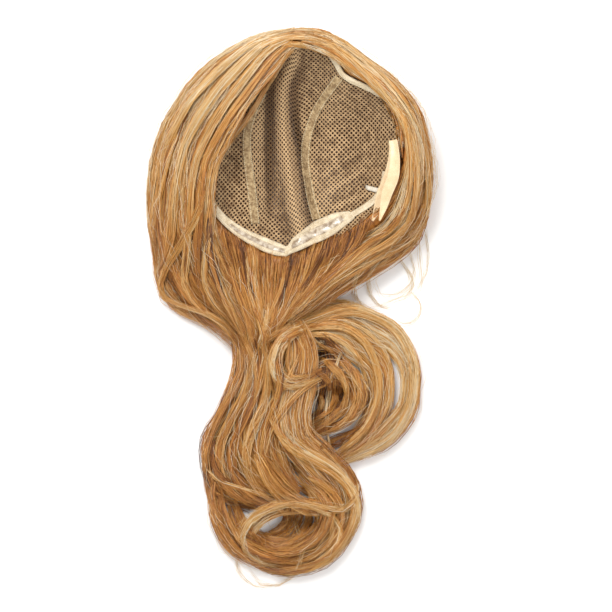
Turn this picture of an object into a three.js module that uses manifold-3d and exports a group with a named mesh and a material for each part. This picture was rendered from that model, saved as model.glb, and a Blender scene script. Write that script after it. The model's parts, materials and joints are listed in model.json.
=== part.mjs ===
// A long wavy wig, laid on its back on a table with the open cap facing up.
// Millimetres. +Z is up, +Y points to the front hairline, +X to the wearer's left ear as the
// wig lies, and the origin is on the table, in the middle of the hair's footprint.

import * as THREE from "three";
import { mergeVertices } from "three/addons/utils/BufferGeometryUtils.js";
import Module from "manifold-3d";

const wasm = await Module();
wasm.setup();

// Driving sizes of the cap
const capLength = 210; // front hairline to the point of the nape
const capWidth = 200; // ear to ear, as the cap lies open
const restHeight = 72; // front edge of the cap above the table
const hairUnderCap = 17; // hair pressed flat between the net and the table
const bowlCurve = 2.3; // how late the bowl turns up towards its edge
const netWall = 1.2;
const holeColumns = 10;
const holeRows = 11;
const yarnShare = 0.36; // yarn between two holes, as a share of their spacing
const netEdge = 7; // unpierced edge of the net
const sewnGap = 0.4; // between cloth pieces that are sewn on each other

// Driving sizes of the ribbons on the cap
const bindingWidth = 5.5;
const bindingThick = 0.9;
const napeBandThick = 1.2;
const gripThick = 0.8;
const seamTapeWidth = 9;
const seamTapeThick = 1;
const strapWidth = 11;
const strapThick = 1.4;
const casingWidth = 8;
const casingThick = 1.2;
const tabWidth = 5;
const tabLength = 14;
const tabThick = 1.1;

// Driving sizes of the hair
const tailLength = 320; // from the nape point to the lowest curl
const tailWidth = 200; // unit of the waves' reach to each side
const skirtWidth = 32; // hair that stands out round the cap's edge
const lipHeight = 4; // hair above the cap's edge
const lockThick = 14;
const hairGap = 0.6; // between two masses of hair
const crownGap = 1.3; // between the net and the hair that it is sewn to
const facetSlack = 0.2; // flat facets that lie within this of each other become one

// Where things lie on the table
const capX = 13.4;
const capFrontY = 255;
const capY = capFrontY - capLength / 2;

const colours = {
  net: { color: 0xb9a27a, roughness: 0.9 },
  tape: { color: 0xc9b98e, roughness: 0.85 },
  band: { color: 0xded2b0, roughness: 0.6 },
  grip: { color: 0xc4b09a, roughness: 0.25 },
  strap: { color: 0xf2dcb2, roughness: 0.55 },
  hairLight: { color: 0xd9a866, roughness: 0.45 },
  hairMid: { color: 0xc48d4e, roughness: 0.45 },
  hairDeep: { color: 0x9c6232, roughness: 0.5 },
};

const wholeTurn = 2 * Math.PI;
const rad = THREE.MathUtils.degToRad;
const lerp = THREE.MathUtils.lerp;
const smooth = THREE.MathUtils.smoothstep;

// Catmull-Rom value of one column at t rows from the first.
function columnAt(rows, column, t, closed = false) {
  const n = rows.length;
  const i = closed ? Math.floor(t) : Math.min(Math.floor(t), n - 2);
  const f = t - i;
  const pick = (k) => rows[closed ? (k + n) % n : Math.max(0, Math.min(n - 1, k))][column];
  const [a, b, c, d] = [pick(i - 1), pick(i), pick(i + 1), pick(i + 2)];
  return b + 0.5 * f * (c - a + f * (2 * a - 5 * b + 4 * c - d + f * (3 * (b - c) + d - a)));
}

// The cap's edge, every 15 degrees from the right ear (+X) towards the front (+Y).
// reach: shares of half the cap's width and length. rise: share of restHeight.
// skirt: hair outside the edge, as a share of skirtWidth.
const edge = [
  { reach: 0.98, rise: 0.86, skirt: 0.4 }, // 0
  { reach: 1.01, rise: 0.88, skirt: 0.35 },
  { reach: 0.98, rise: 0.9, skirt: 0.32 },
  { reach: 0.87, rise: 0.92, skirt: 0.36 },
  { reach: 0.83, rise: 0.95, skirt: 0.5 },
  { reach: 0.97, rise: 0.98, skirt: 0.48 },
  { reach: 1.0, rise: 1.0, skirt: 0.44 }, // 90
  { reach: 0.95, rise: 0.98, skirt: 0.54 },
  { reach: 0.9, rise: 0.95, skirt: 0.6 },
  { reach: 0.87, rise: 0.92, skirt: 0.66 },
  { reach: 0.88, rise: 0.89, skirt: 0.72 },
  { reach: 0.92, rise: 0.86, skirt: 0.76 },
  { reach: 0.97, rise: 0.82, skirt: 0.78 }, // 180
  { reach: 1.01, rise: 0.75, skirt: 0.8 },
  { reach: 1.03, rise: 0.66, skirt: 0.84 },
  { reach: 1.01, rise: 0.57, skirt: 0.88 },
  { reach: 0.99, rise: 0.5, skirt: 0.92 },
  { reach: 0.975, rise: 0.46, skirt: 0.95 },
  { reach: 0.9, rise: 0.46, skirt: 0.95 }, // 270
  { reach: 0.85, rise: 0.49, skirt: 0.92 },
  { reach: 0.83, rise: 0.55, skirt: 0.85 },
  { reach: 0.85, rise: 0.62, skirt: 0.75 },
  { reach: 0.91, rise: 0.7, skirt: 0.6 },
  { reach: 0.95, rise: 0.79, skirt: 0.48 },
];
const edgeAt = (column, angle) => {
  const turns = ((angle / wholeTurn) % 1 + 1) % 1;
  return columnAt(edge, column, turns * edge.length, true);
};

// Folds where the empty net has collapsed: long ridges from front to nape.
// across and down: shares of the cap's width and length. lift, left and right: shares of restHeight.
const folds = [
  {
    lift: 0.17, left: 0.2, right: 0.11,
    front: { across: -0.04, down: 0.1 }, nape: { across: -0.03, down: 0.86 },
  },
  {
    lift: 0.09, left: 0.18, right: 0.18,
    front: { across: -0.2, down: 0.3 }, nape: { across: -0.27, down: 0.8 },
  },
  {
    lift: 0.08, left: 0.22, right: 0.3,
    front: { across: 0.16, down: 0.2 }, nape: { across: 0.12, down: 0.8 },
  },
];
const foldEndShare = 0.22; // share of its length over which a fold dies away

// A place on the cap in plan: across and down are shares, 0,0 is the front of the edge.
const planX = (across) => capX + across * capWidth;
const planY = (down) => capFrontY - down * capLength;

// Height of the bowl over the table without its folds, and with them.
function bowlHeight(x, y) {
  const u = (x - capX) / (capWidth / 2);
  const v = (y - capY) / (capLength / 2);
  const angle = Math.atan2(v, u);
  const share = Math.hypot(u, v) / edgeAt("reach", angle);
  const rise = edgeAt("rise", angle) * restHeight - hairUnderCap;
  return hairUnderCap + rise * share ** bowlCurve;
}
function foldLift(x, y) {
  let lift = 0;
  for (const fold of folds) {
    const t = (planY(fold.front.down) - y) / (planY(fold.front.down) - planY(fold.nape.down));
    const ridge = planX(lerp(fold.front.across, fold.nape.across, t));
    const width = (x < ridge ? fold.left : fold.right) * restHeight;
    const fade = smooth(t, -foldEndShare, foldEndShare) * (1 - smooth(t, 1 - foldEndShare, 1 + foldEndShare));
    lift += fold.lift * restHeight * fade * Math.exp(-(((x - ridge) / width) ** 2));
  }
  return lift;
}
const netHeight = (x, y) => bowlHeight(x, y) + foldLift(x, y);

// The point that lies off millimetres from a height field, along its upward normal.
function offsetPoint(height, x, y, off) {
  const step = 0.5;
  const slopeX = (height(x + step, y) - height(x - step, y)) / (2 * step);
  const slopeY = (height(x, y + step) - height(x, y - step)) / (2 * step);
  const normal = new THREE.Vector3(-slopeX, -slopeY, 1).normalize();
  return new THREE.Vector3(x, y, height(x, y)).addScaledVector(normal, off);
}
// The plan point at a share of the way from the bowl's middle to its edge.
function spokePoint(angle, share) {
  const reach = edgeAt("reach", angle) * share;
  return [
    capX + (reach * Math.cos(angle) * capWidth) / 2,
    capY + (reach * Math.sin(angle) * capLength) / 2,
  ];
}

// Geometry helpers

function geometryOf(points, triangles) {
  const geometry = new THREE.BufferGeometry();
  geometry.setAttribute("position", new THREE.Float32BufferAttribute(points.flatMap((p) => p.toArray()), 3));
  geometry.setIndex(triangles.flat());
  return geometry;
}

// Rings of equally many points joined into a closed tube with flat or pointed ends.
function loft(rings) {
  const n = rings[0].length;
  const points = rings.flat();
  const triangles = [];
  for (let i = 0; i + 1 < rings.length; i++)
    for (let k = 0; k < n; k++) {
      const [a, b] = [i * n + k, i * n + ((k + 1) % n)];
      triangles.push([a, b, b + n], [a, b + n, a + n]);
    }
  [rings[0], rings.at(-1)].forEach((ring, end) => {
    const middle = ring.reduce((sum, p) => sum.add(p), new THREE.Vector3()).divideScalar(n);
    const base = end ? (rings.length - 1) * n : 0;
    points.push(middle);
    for (let k = 0; k < n; k++) {
      const [a, b] = [base + k, base + ((k + 1) % n)];
      triangles.push(end ? [points.length - 1, a, b] : [points.length - 1, b, a]);
    }
  });
  return geometryOf(points, triangles);
}

function toSolid(geometry) {
  const merged = mergeVertices(geometry, 1e-4);
  const solid = new wasm.Manifold(
    new wasm.Mesh({
      numProp: 3,
      vertProperties: merged.attributes.position.array,
      triVerts: new Uint32Array(merged.index.array),
    }),
  );
  return solid;
}
function toGeometry(solid) {
  const mesh = solid.getMesh();
  const geometry = new THREE.BufferGeometry();
  geometry.setAttribute("position", new THREE.Float32BufferAttribute(mesh.vertProperties, 3));
  geometry.setIndex(new THREE.Uint32BufferAttribute(mesh.triVerts, 1));
  return geometry;
}
const joined = (solids) => solids.reduce((all, one) => all.add(one));
const cut = (solid, ...cutters) => cutters.reduce((left, cutter) => left.subtract(cutter), solid);
// The main body of a solid: crumbs that a cut leaves behind belong to no lock.
const mainBody = (solid) => solid.decompose().reduce((a, b) => (a.volume() > b.volume() ? a : b));
const thinned = (solid) => mainBody(solid.simplify(facetSlack));

// The net cap: a bowl of yarn with the holes cut through

function shareLines(holes, edgeShare) {
  const pitch = (2 - 2 * edgeShare) / (holes - yarnShare);
  const lines = [-1];
  for (let i = 0; i < holes; i++) {
    const start = -1 + edgeShare + i * pitch;
    lines.push(start, start + pitch * (1 - yarnShare));
  }
  return [...lines, 1];
}

// A square of side 2 laid smoothly over the cap's outline.
function netPlan(p, q, stretch) {
  const x = p * Math.sqrt(1 - (q * q) / 2);
  const y = q * Math.sqrt(1 - (p * p) / 2);
  return spokePoint(Math.atan2(y, x), Math.hypot(x, y) * stretch);
}

const netColumns = shareLines(holeColumns, (2 * netEdge) / capWidth);
const netRows = shareLines(holeRows, (2 * netEdge) / capLength);

// A layer of the cap between two offsets from the net's inner face, out to a share of the edge.
// Every layer has its corners where the net has them, so that layers lie flat on each other.
function capLayer(low, high, outTo, isHole = () => false) {
  const [nx, ny] = [netColumns.length, netRows.length];
  const points = [];
  for (const off of [high, low])
    for (const q of netRows)
      for (const p of netColumns) {
        const atEdge = Math.max(Math.abs(p), Math.abs(q)) === 1;
        points.push(offsetPoint(netHeight, ...netPlan(p, q, atEdge ? outTo : 1), off));
      }
  const top = (i, j) => j * nx + i;
  const under = (i, j) => nx * ny + top(i, j);
  const triangles = [];
  const quad = (a, b, c, d) => triangles.push([a, b, c], [a, c, d]);
  const solidAt = (i, j) => i >= 0 && j >= 0 && i < nx - 1 && j < ny - 1 && !isHole(i, j);
  for (let j = 0; j < ny - 1; j++)
    for (let i = 0; i < nx - 1; i++) {
      if (!solidAt(i, j)) continue;
      quad(top(i, j), top(i + 1, j), top(i + 1, j + 1), top(i, j + 1));
      quad(under(i, j), under(i, j + 1), under(i + 1, j + 1), under(i + 1, j));
      if (!solidAt(i, j - 1)) quad(top(i, j), under(i, j), under(i + 1, j), top(i + 1, j));
      if (!solidAt(i, j + 1)) quad(top(i + 1, j + 1), under(i + 1, j + 1), under(i, j + 1), top(i, j + 1));
      if (!solidAt(i - 1, j)) quad(top(i, j + 1), under(i, j + 1), under(i, j), top(i, j));
      if (!solidAt(i + 1, j)) quad(top(i + 1, j), under(i + 1, j), under(i + 1, j + 1), top(i + 1, j + 1));
    }
  return toSolid(geometryOf(points, triangles));
}

// The net itself: yarn between the holes, and no hole in the four places where rows run out.
function netCap() {
  const [lastColumn, lastRow] = [2 * holeColumns - 1, 2 * holeRows - 1];
  const runsOut = (i, j) => (i === 1 || i === lastColumn) && (j === 1 || j === lastRow);
  const isHole = (i, j) => i % 2 === 1 && j % 2 === 1 && !runsOut(i, j);
  return capLayer(-netWall, 0, 1, isHole);
}

// The room that the cap and what is sewn on it takes up, in coarse facets: what hair must clear.
const roomShares = [0.45, 0.72, 0.9, 1.1];
const roomSpokes = 48;
const roomSlack = 1.4; // how far a coarse facet can stray from the net
function capRoom(below, above) {
  const points = [];
  for (const off of [above + roomSlack, -below - roomSlack]) {
    points.push(offsetPoint(netHeight, capX, capY, off));
    for (const share of roomShares)
      for (let k = 0; k < roomSpokes; k++)
        points.push(offsetPoint(netHeight, ...spokePoint((k / roomSpokes) * wholeTurn, share), off));
  }
  const layer = 1 + roomShares.length * roomSpokes;
  const at = (side, ring, k) => side * layer + 1 + ring * roomSpokes + (k % roomSpokes);
  const last = roomShares.length - 1;
  const triangles = [];
  for (let k = 0; k < roomSpokes; k++) {
    triangles.push([0, at(0, 0, k), at(0, 0, k + 1)], [layer, at(1, 0, k + 1), at(1, 0, k)]);
    for (let ring = 0; ring < last; ring++) {
      const [a, b, c, d] = [at(0, ring, k), at(0, ring + 1, k), at(0, ring + 1, k + 1), at(0, ring, k + 1)];
      triangles.push([a, b, c], [a, c, d]);
      const [e, f, g, h] = [at(1, ring, k), at(1, ring + 1, k), at(1, ring + 1, k + 1), at(1, ring, k + 1)];
      triangles.push([e, g, f], [e, h, g]);
    }
    const [a, b, c, d] = [at(0, last, k), at(0, last, k + 1), at(1, last, k), at(1, last, k + 1)];
    triangles.push([a, c, d], [a, d, b]);
  }
  return toSolid(geometryOf(points, triangles));
}

// Ribbons that lie on the cap

// The column of space over a strip of the plan: each row gives its two long edges.
function planColumn(rows) {
  const wall = (point, z) => new THREE.Vector3(...point, z);
  const top = 2 * restHeight;
  const rings = rows.map(({ left, right }) => [
    wall(left, 0), wall(right, 0), wall(right, top), wall(left, top),
  ]);
  return toSolid(loft(rings));
}

// A ribbon sewn on the inside of the net.
const ribbonReach = 1.08;
const ribbonOnNet = (rows, off, thick) =>
  thinned(planColumn(rows).intersect(capLayer(off, off + thick, ribbonReach)));

// Seam tapes: their middle lines, across and down the cap.
const seamLeft = [
  { across: -0.2, down: 0.22 },
  { across: -0.25, down: 0.32 },
  { across: -0.275, down: 0.42 },
  { across: -0.272, down: 0.53 },
  { across: -0.258, down: 0.64 },
  { across: -0.245, down: 0.75 },
  { across: -0.235, down: 0.84 },
];
const seamRight = [
  { across: 0.185, down: 0.155 },
  { across: 0.115, down: 0.24 },
  { across: 0.06, down: 0.33 },
  { across: 0.025, down: 0.44 },
  { across: 0.018, down: 0.55 },
  { across: 0.035, down: 0.66 },
  { across: 0.055, down: 0.75 },
  { across: 0.075, down: 0.82 },
];
function seamTape(line) {
  const steps = 2 * (line.length - 1);
  const middle = [];
  for (let i = 0; i <= steps; i++) {
    const t = (i / steps) * (line.length - 1);
    middle.push([planX(columnAt(line, "across", t)), planY(columnAt(line, "down", t))]);
  }
  const rows = middle.map(([x, y], i) => {
    const [before, after] = [middle[Math.max(0, i - 1)], middle[Math.min(steps, i + 1)]];
    const [dx, dy] = [after[0] - before[0], after[1] - before[1]];
    const half = seamTapeWidth / 2 / Math.hypot(dx, dy);
    return { left: [x + dy * half, y - dx * half], right: [x - dy * half, y + dx * half] };
  });
  return ribbonOnNet(rows, sewnGap, seamTapeThick);
}

// The band along the nape and the grip strips on it. inner and outer: shares of the edge's reach.
const napeRows = [
  { degrees: 209, inner: 0.93, outer: 1.0 },
  { degrees: 220, inner: 0.88, outer: 1.02 },
  { degrees: 232, inner: 0.86, outer: 1.03 },
  { degrees: 244, inner: 0.86, outer: 1.03 },
  { degrees: 254, inner: 0.87, outer: 1.03 },
  { degrees: 261, inner: 0.88, outer: 1.04 },
  { degrees: 269, inner: 0.86, outer: 1.05 },
  { degrees: 280, inner: 0.82, outer: 1.05 },
  { degrees: 291, inner: 0.8, outer: 1.05 },
  { degrees: 300, inner: 0.81, outer: 1.03 },
  { degrees: 310, inner: 0.88, outer: 1.0 },
];
function bandRows(fromRow, toRow, stepsPerRow, innerOf, outerOf) {
  const rows = [];
  const steps = Math.round((toRow - fromRow) * stepsPerRow);
  for (let i = 0; i <= steps; i++) {
    const t = fromRow + ((toRow - fromRow) * i) / steps;
    const angle = rad(columnAt(napeRows, "degrees", t));
    const [inner, outer] = [columnAt(napeRows, "inner", t), columnAt(napeRows, "outer", t)];
    rows.push({
      left: spokePoint(angle, outerOf(inner, outer)),
      right: spokePoint(angle, innerOf(inner, outer)),
    });
  }
  return rows;
}
const napeBand = () =>
  ribbonOnNet(bandRows(0, napeRows.length - 1, 2, (i) => i, (i, o) => o), sewnGap, napeBandThick);
// A grip strip covers the middle of the band, between two of its rows.
const gripInner = 0.3;
const gripOuter = 0.72;
const gripStrip = (fromRow, toRow) =>
  ribbonOnNet(
    bandRows(fromRow, toRow, 2, (i, o) => lerp(i, o, gripInner), (i, o) => lerp(i, o, gripOuter)),
    2 * sewnGap + napeBandThick,
    gripThick,
  );

// The casing that leads from the nape band up to the ear, in which the strap is adjusted.
const casingLine = [
  { degrees: 312.5, share: 0.94 },
  { degrees: 322, share: 0.95 },
  { degrees: 332, share: 0.95 },
  { degrees: 340, share: 0.93 },
  { degrees: 346, share: 0.9 },
];
function strapCasing() {
  const steps = 2 * (casingLine.length - 1);
  const rows = [];
  for (let i = 0; i <= steps; i++) {
    const t = (i / steps) * (casingLine.length - 1);
    const angle = rad(columnAt(casingLine, "degrees", t));
    const share = columnAt(casingLine, "share", t);
    const halfShare = casingWidth / capWidth;
    rows.push({ left: spokePoint(angle, share + halfShare), right: spokePoint(angle, share - halfShare) });
  }
  return ribbonOnNet(rows, sewnGap, casingThick);
}

// A folded binding round the net's raw edge, from the right ear over the front to the left ear.
const bindingFrom = rad(-3);
const bindingTo = rad(204);
const bindingSteps = 22;
function edgeBinding() {
  const rows = [];
  for (let i = 0; i <= bindingSteps; i++) {
    const angle = lerp(bindingFrom, bindingTo, i / bindingSteps);
    const inner = 1 - (2 * bindingWidth) / capWidth;
    rows.push({ left: spokePoint(angle, ribbonReach), right: spokePoint(angle, inner) });
  }
  const skin = sewnGap + bindingThick;
  const outTo = (distance) => 1 + (2 * distance) / capWidth;
  const folded = capLayer(-netWall - skin, skin, outTo(2 * skin));
  const room = capLayer(-netWall - sewnGap, sewnGap, outTo(2 * sewnGap));
  return thinned(planColumn(rows).intersect(folded).subtract(room));
}

// Flat straps in free air: lift is above the net's surface, as a share of restHeight.
function flatStrap(rows, width, thick, stepsPerRow) {
  const steps = stepsPerRow * (rows.length - 1);
  const at = (t) => {
    const [x, y] = [planX(columnAt(rows, "across", t)), planY(columnAt(rows, "down", t))];
    return new THREE.Vector3(x, y, netHeight(x, y) + columnAt(rows, "lift", t) * restHeight);
  };
  const rings = [];
  for (let i = 0; i <= steps; i++) {
    const t = (i / steps) * (rows.length - 1);
    const ahead = at(Math.min(rows.length - 1, t + 0.1)).sub(at(Math.max(0, t - 0.1))).normalize();
    const roll = rad(columnAt(rows, "roll", t));
    const flat = new THREE.Vector3(0, 0, 1).cross(ahead).normalize();
    const side = flat.applyAxisAngle(ahead, roll);
    const up = ahead.clone().cross(side);
    const put = (s, u) => at(t).addScaledVector(side, (s * width) / 2).addScaledVector(up, (u * thick) / 2);
    rings.push([put(-1, -1), put(1, -1), put(1, 1), put(-1, 1)]);
  }
  return loft(rings);
}
const strapRows = [
  { across: 0.44, down: 0.45, lift: 0.12, roll: 20 },
  { across: 0.445, down: 0.53, lift: 0.12, roll: 22 },
  { across: 0.438, down: 0.62, lift: 0.11, roll: 20 },
  { across: 0.42, down: 0.7, lift: 0.07, roll: 14 },
  { across: 0.395, down: 0.77, lift: -0.02, roll: 6 },
  { across: 0.365, down: 0.83, lift: -0.05, roll: 0 },
];
// The tab that the strap hooks to.
const tabRows = [
  { across: 0.325, down: 0.672 },
  { across: 0.325 + tabLength / capWidth, down: 0.69 },
];
function hookTab() {
  const half = tabWidth / 2 / capLength;
  const rows = tabRows.map(({ across, down }) => ({
    left: [planX(across), planY(down + half)],
    right: [planX(across), planY(down - half)],
  }));
  return ribbonOnNet(rows, 2 * sewnGap + casingThick, tabThick);
}

// Hair

// Rows of a lock: across and down place it in plan, down runs 0 to 1 along the cap and 1 to 2
// along the tail. rise: share of restHeight. wide: share of the cap's or tail's width.
// thick: share of lockThick. roll: degrees that the lock leans, outer side down.
const unitWidth = (down) => lerp(capWidth, tailWidth, smooth(down, 0.95, 1.25));
const hairX = (across, down) => capX + across * unitWidth(down);
const hairY = (down) => planY(Math.min(down, 1)) - Math.max(0, down - 1) * tailLength;

const lockSides = 6;
function lockRings(rows, grow, split = 1, index = 0) {
  const steps = rows.length - 1;
  const at = (t) => {
    const down = columnAt(rows, "down", t);
    const x = hairX(columnAt(rows, "across", t), down);
    return new THREE.Vector3(x, hairY(down), columnAt(rows, "rise", t) * restHeight);
  };
  const rings = [];
  for (let i = 0; i <= steps; i++) {
    const t = (i / steps) * (rows.length - 1);
    const last = rows.length - 1;
    const ahead = at(Math.min(last, t + 0.15)).sub(at(Math.max(0, t - 0.15))).normalize();
    const flat = new THREE.Vector3(0, 0, 1).cross(ahead).normalize();
    const side = flat.applyAxisAngle(ahead, rad(columnAt(rows, "roll", t)));
    const up = ahead.clone().cross(side);
    const wholeWidth = columnAt(rows, "wide", t) * unitWidth(columnAt(rows, "down", t));
    const overlapShare = split > 1 ? 1.5 : 1;
    const halfWidth = (wholeWidth / 2 / split) * overlapShare + grow;
    const halfThick = (columnAt(rows, "thick", t) * lockThick) / 2 + grow;
    const shift = ((index + 0.5) / split - 0.5) * wholeWidth * (1 - (overlapShare - 1) / split);
    const middle = at(t).addScaledVector(side, shift);
    const ring = [];
    for (let k = 0; k < lockSides; k++) {
      const turn = ((k + 0.5) / lockSides) * wholeTurn;
      const p = middle
        .clone()
        .addScaledVector(side, Math.cos(turn) * halfWidth)
        .addScaledVector(up, Math.sin(turn) * halfThick);
      p.z = Math.max(p.z, -grow);
      ring.push(p);
    }
    rings.push(ring);
  }
  return rings;
}
// A sheaf of locks side by side, each row's width shared out among them.
function sheaf({ rows, locks }, grow = 0) {
  const solids = [];
  for (let i = 0; i < locks; i++) solids.push(toSolid(loft(lockRings(rows, grow, locks, i))));
  return joined(solids);
}
const mass = (sheaves, grow = 0) => joined(sheaves.map((one) => sheaf(one, grow)));

// Columns of a lock's row, in order, so that each row stays on one line.
const columns = ["across", "down", "rise", "wide", "thick", "roll"];
const lockRows = (...rows) => rows.map((row) => Object.fromEntries(columns.map((name, i) => [name, row[i]])));

const frontLeft = [
  {
    locks: 1, // over the cap's edge
    rows: lockRows(
      // across, down, rise, wide, thick, roll
      [-0.03, -0.01, 1.07, 0.05, 0.45, 0],
      [-0.15, 0.05, 1.12, 0.15, 0.6, 14],
      [-0.295, 0.165, 1.06, 0.23, 0.65, 22],
      [-0.415, 0.325, 1.0, 0.26, 0.65, 26],
      [-0.5, 0.52, 0.93, 0.24, 0.65, 27],
      [-0.53, 0.72, 0.83, 0.2, 0.65, 24],
      [-0.51, 0.9, 0.66, 0.17, 0.7, 16],
      [-0.44, 1.04, 0.52, 0.15, 0.8, 8],
      [-0.35, 1.14, 0.44, 0.13, 0.8, 0],
      [-0.27, 1.24, 0.38, 0.09, 0.5, 0],
    ),
  },
  {
    locks: 2,
    rows: lockRows(
      [-0.04, -0.025, 1.02, 0.05, 0.6, 5],
      [-0.2, 0.04, 1.0, 0.13, 0.8, 20],
      [-0.38, 0.16, 0.9, 0.18, 0.9, 34],
      [-0.52, 0.33, 0.78, 0.21, 0.95, 42],
      [-0.6, 0.55, 0.67, 0.22, 1.0, 42],
      [-0.63, 0.76, 0.56, 0.21, 1.0, 38],
      [-0.62, 0.94, 0.44, 0.2, 1.0, 28],
      [-0.55, 1.08, 0.35, 0.18, 1.0, 16],
      [-0.44, 1.165, 0.28, 0.15, 0.95, 5],
      [-0.33, 1.24, 0.24, 0.11, 0.7, 0],
    ),
  },
  {
    locks: 2, // the outline on the left
    rows: lockRows(
      [-0.02, -0.05, 0.9, 0.06, 0.8, 55],
      [-0.2, -0.015, 0.8, 0.12, 0.9, 60],
      [-0.37, 0.08, 0.64, 0.16, 1.0, 58],
      [-0.53, 0.23, 0.48, 0.18, 1.1, 54],
      [-0.645, 0.42, 0.36, 0.19, 1.2, 48],
      [-0.69, 0.62, 0.28, 0.18, 1.2, 42],
      [-0.7, 0.78, 0.22, 0.17, 1.2, 36],
      [-0.675, 0.93, 0.18, 0.15, 1.2, 28],
      [-0.665, 1.05, 0.15, 0.14, 1.1, 18],
      [-0.625, 1.13, 0.13, 0.12, 1.1, 8],
      [-0.51, 1.175, 0.12, 0.1, 1.1, 0],
      [-0.4, 1.205, 0.11, 0.1, 1.0, 0],
      [-0.31, 1.28, 0.1, 0.07, 0.8, 0],
    ),
  },
];

const frontRight = [
  {
    locks: 1, // along the cap's edge
    rows: lockRows(
      [0.0, -0.02, 1.08, 0.05, 0.5, 0],
      [0.13, 0.015, 1.1, 0.07, 0.6, -15],
      [0.27, 0.11, 1.04, 0.08, 0.7, -30],
      [0.41, 0.21, 1.0, 0.08, 0.7, -35],
      [0.515, 0.35, 0.96, 0.09, 0.8, -38],
      [0.55, 0.52, 0.88, 0.11, 0.9, -36],
      [0.54, 0.69, 0.76, 0.12, 1.0, -28],
      [0.49, 0.82, 0.64, 0.12, 1.0, -18],
      [0.4, 0.92, 0.56, 0.12, 0.9, -8],
      [0.23, 1.02, 0.52, 0.11, 0.8, 0],
      [0.06, 1.12, 0.5, 0.1, 0.7, 0],
      [-0.08, 1.2, 0.5, 0.06, 0.4, 0],
    ),
  },
  {
    locks: 1,
    rows: lockRows(
      [0.01, -0.035, 1.0, 0.05, 0.6, -30],
      [0.15, 0.0, 0.97, 0.09, 0.8, -45],
      [0.29, 0.1, 0.88, 0.12, 0.9, -48],
      [0.44, 0.2, 0.8, 0.14, 0.95, -48],
      [0.545, 0.35, 0.74, 0.16, 1.0, -46],
      [0.58, 0.53, 0.66, 0.16, 1.0, -42],
      [0.575, 0.7, 0.56, 0.16, 1.0, -34],
      [0.53, 0.83, 0.47, 0.15, 1.0, -22],
      [0.44, 0.92, 0.42, 0.13, 0.9, -10],
      [0.3, 1.02, 0.42, 0.11, 0.8, 0],
      [0.14, 1.1, 0.42, 0.09, 0.7, 0],
      [0.0, 1.17, 0.42, 0.05, 0.4, 0],
    ),
  },
  {
    locks: 2, // the outline on the right
    rows: lockRows(
      [0.02, -0.045, 0.9, 0.06, 0.8, -55],
      [0.16, -0.01, 0.8, 0.1, 0.9, -60],
      [0.31, 0.105, 0.68, 0.15, 1.0, -58],
      [0.44, 0.21, 0.54, 0.18, 1.1, -56],
      [0.53, 0.36, 0.43, 0.2, 1.2, -54],
      [0.56, 0.54, 0.34, 0.2, 1.2, -48],
      [0.565, 0.7, 0.28, 0.18, 1.2, -40],
      [0.55, 0.83, 0.25, 0.15, 1.1, -26],
      [0.49, 0.93, 0.28, 0.14, 1.0, -12],
      [0.36, 1.015, 0.3, 0.12, 0.9, -5],
      [0.2, 1.08, 0.33, 0.11, 0.8, 0],
      [0.05, 1.16, 0.34, 0.08, 0.6, 0],
    ),
  },
];

const napeHair = [
  {
    locks: 2,
    rows: lockRows(
      [-0.34, 0.9, 0.36, 0.2, 0.5, 0],
      [-0.32, 1.0, 0.37, 0.2, 0.6, 0],
      [-0.28, 1.1, 0.38, 0.17, 0.75, 0],
      [-0.235, 1.19, 0.36, 0.13, 0.85, 0],
      [-0.21, 1.27, 0.32, 0.11, 0.8, 0],
    ),
  },
  {
    locks: 2,
    rows: lockRows(
      [-0.1, 0.985, 0.36, 0.3, 0.45, 0],
      [-0.11, 1.05, 0.38, 0.27, 0.6, 0],
      [-0.13, 1.13, 0.4, 0.2, 0.8, 0],
      [-0.15, 1.2, 0.4, 0.15, 0.85, 0],
      [-0.16, 1.27, 0.36, 0.12, 0.8, 0],
    ),
  },
  {
    locks: 2,
    rows: lockRows(
      [0.3, 0.85, 0.34, 0.14, 0.4, 0],
      [0.2, 0.95, 0.36, 0.22, 0.55, 0],
      [0.1, 1.03, 0.38, 0.22, 0.65, 0],
      [0.0, 1.11, 0.4, 0.17, 0.75, 0],
      [-0.09, 1.18, 0.4, 0.12, 0.8, 0],
    ),
  },
];

const leftWave = [
  {
    locks: 2, // down the left of the tail
    rows: lockRows(
      [-0.29, 1.22, 0.13, 0.12, 0.9, 0],
      [-0.265, 1.3, 0.15, 0.14, 1.2, 0],
      [-0.28, 1.4, 0.15, 0.16, 1.3, 0],
      [-0.335, 1.5, 0.15, 0.18, 1.3, 0],
      [-0.395, 1.59, 0.15, 0.2, 1.3, 0],
      [-0.375, 1.67, 0.15, 0.2, 1.2, 0],
      [-0.27, 1.73, 0.17, 0.14, 1.0, 0],
      [-0.15, 1.765, 0.2, 0.08, 0.5, 0],
    ),
  },
  {
    locks: 2, // the middle of the tail
    rows: lockRows(
      [-0.17, 1.235, 0.17, 0.14, 0.9, 0],
      [-0.15, 1.32, 0.22, 0.17, 1.3, 0],
      [-0.16, 1.42, 0.24, 0.18, 1.3, 0],
      [-0.2, 1.52, 0.26, 0.22, 1.3, 0],
      [-0.2, 1.61, 0.26, 0.23, 1.2, 0],
      [-0.13, 1.69, 0.26, 0.16, 1.1, 0],
      [-0.02, 1.745, 0.26, 0.09, 0.5, 0],
    ),
  },
];

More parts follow.
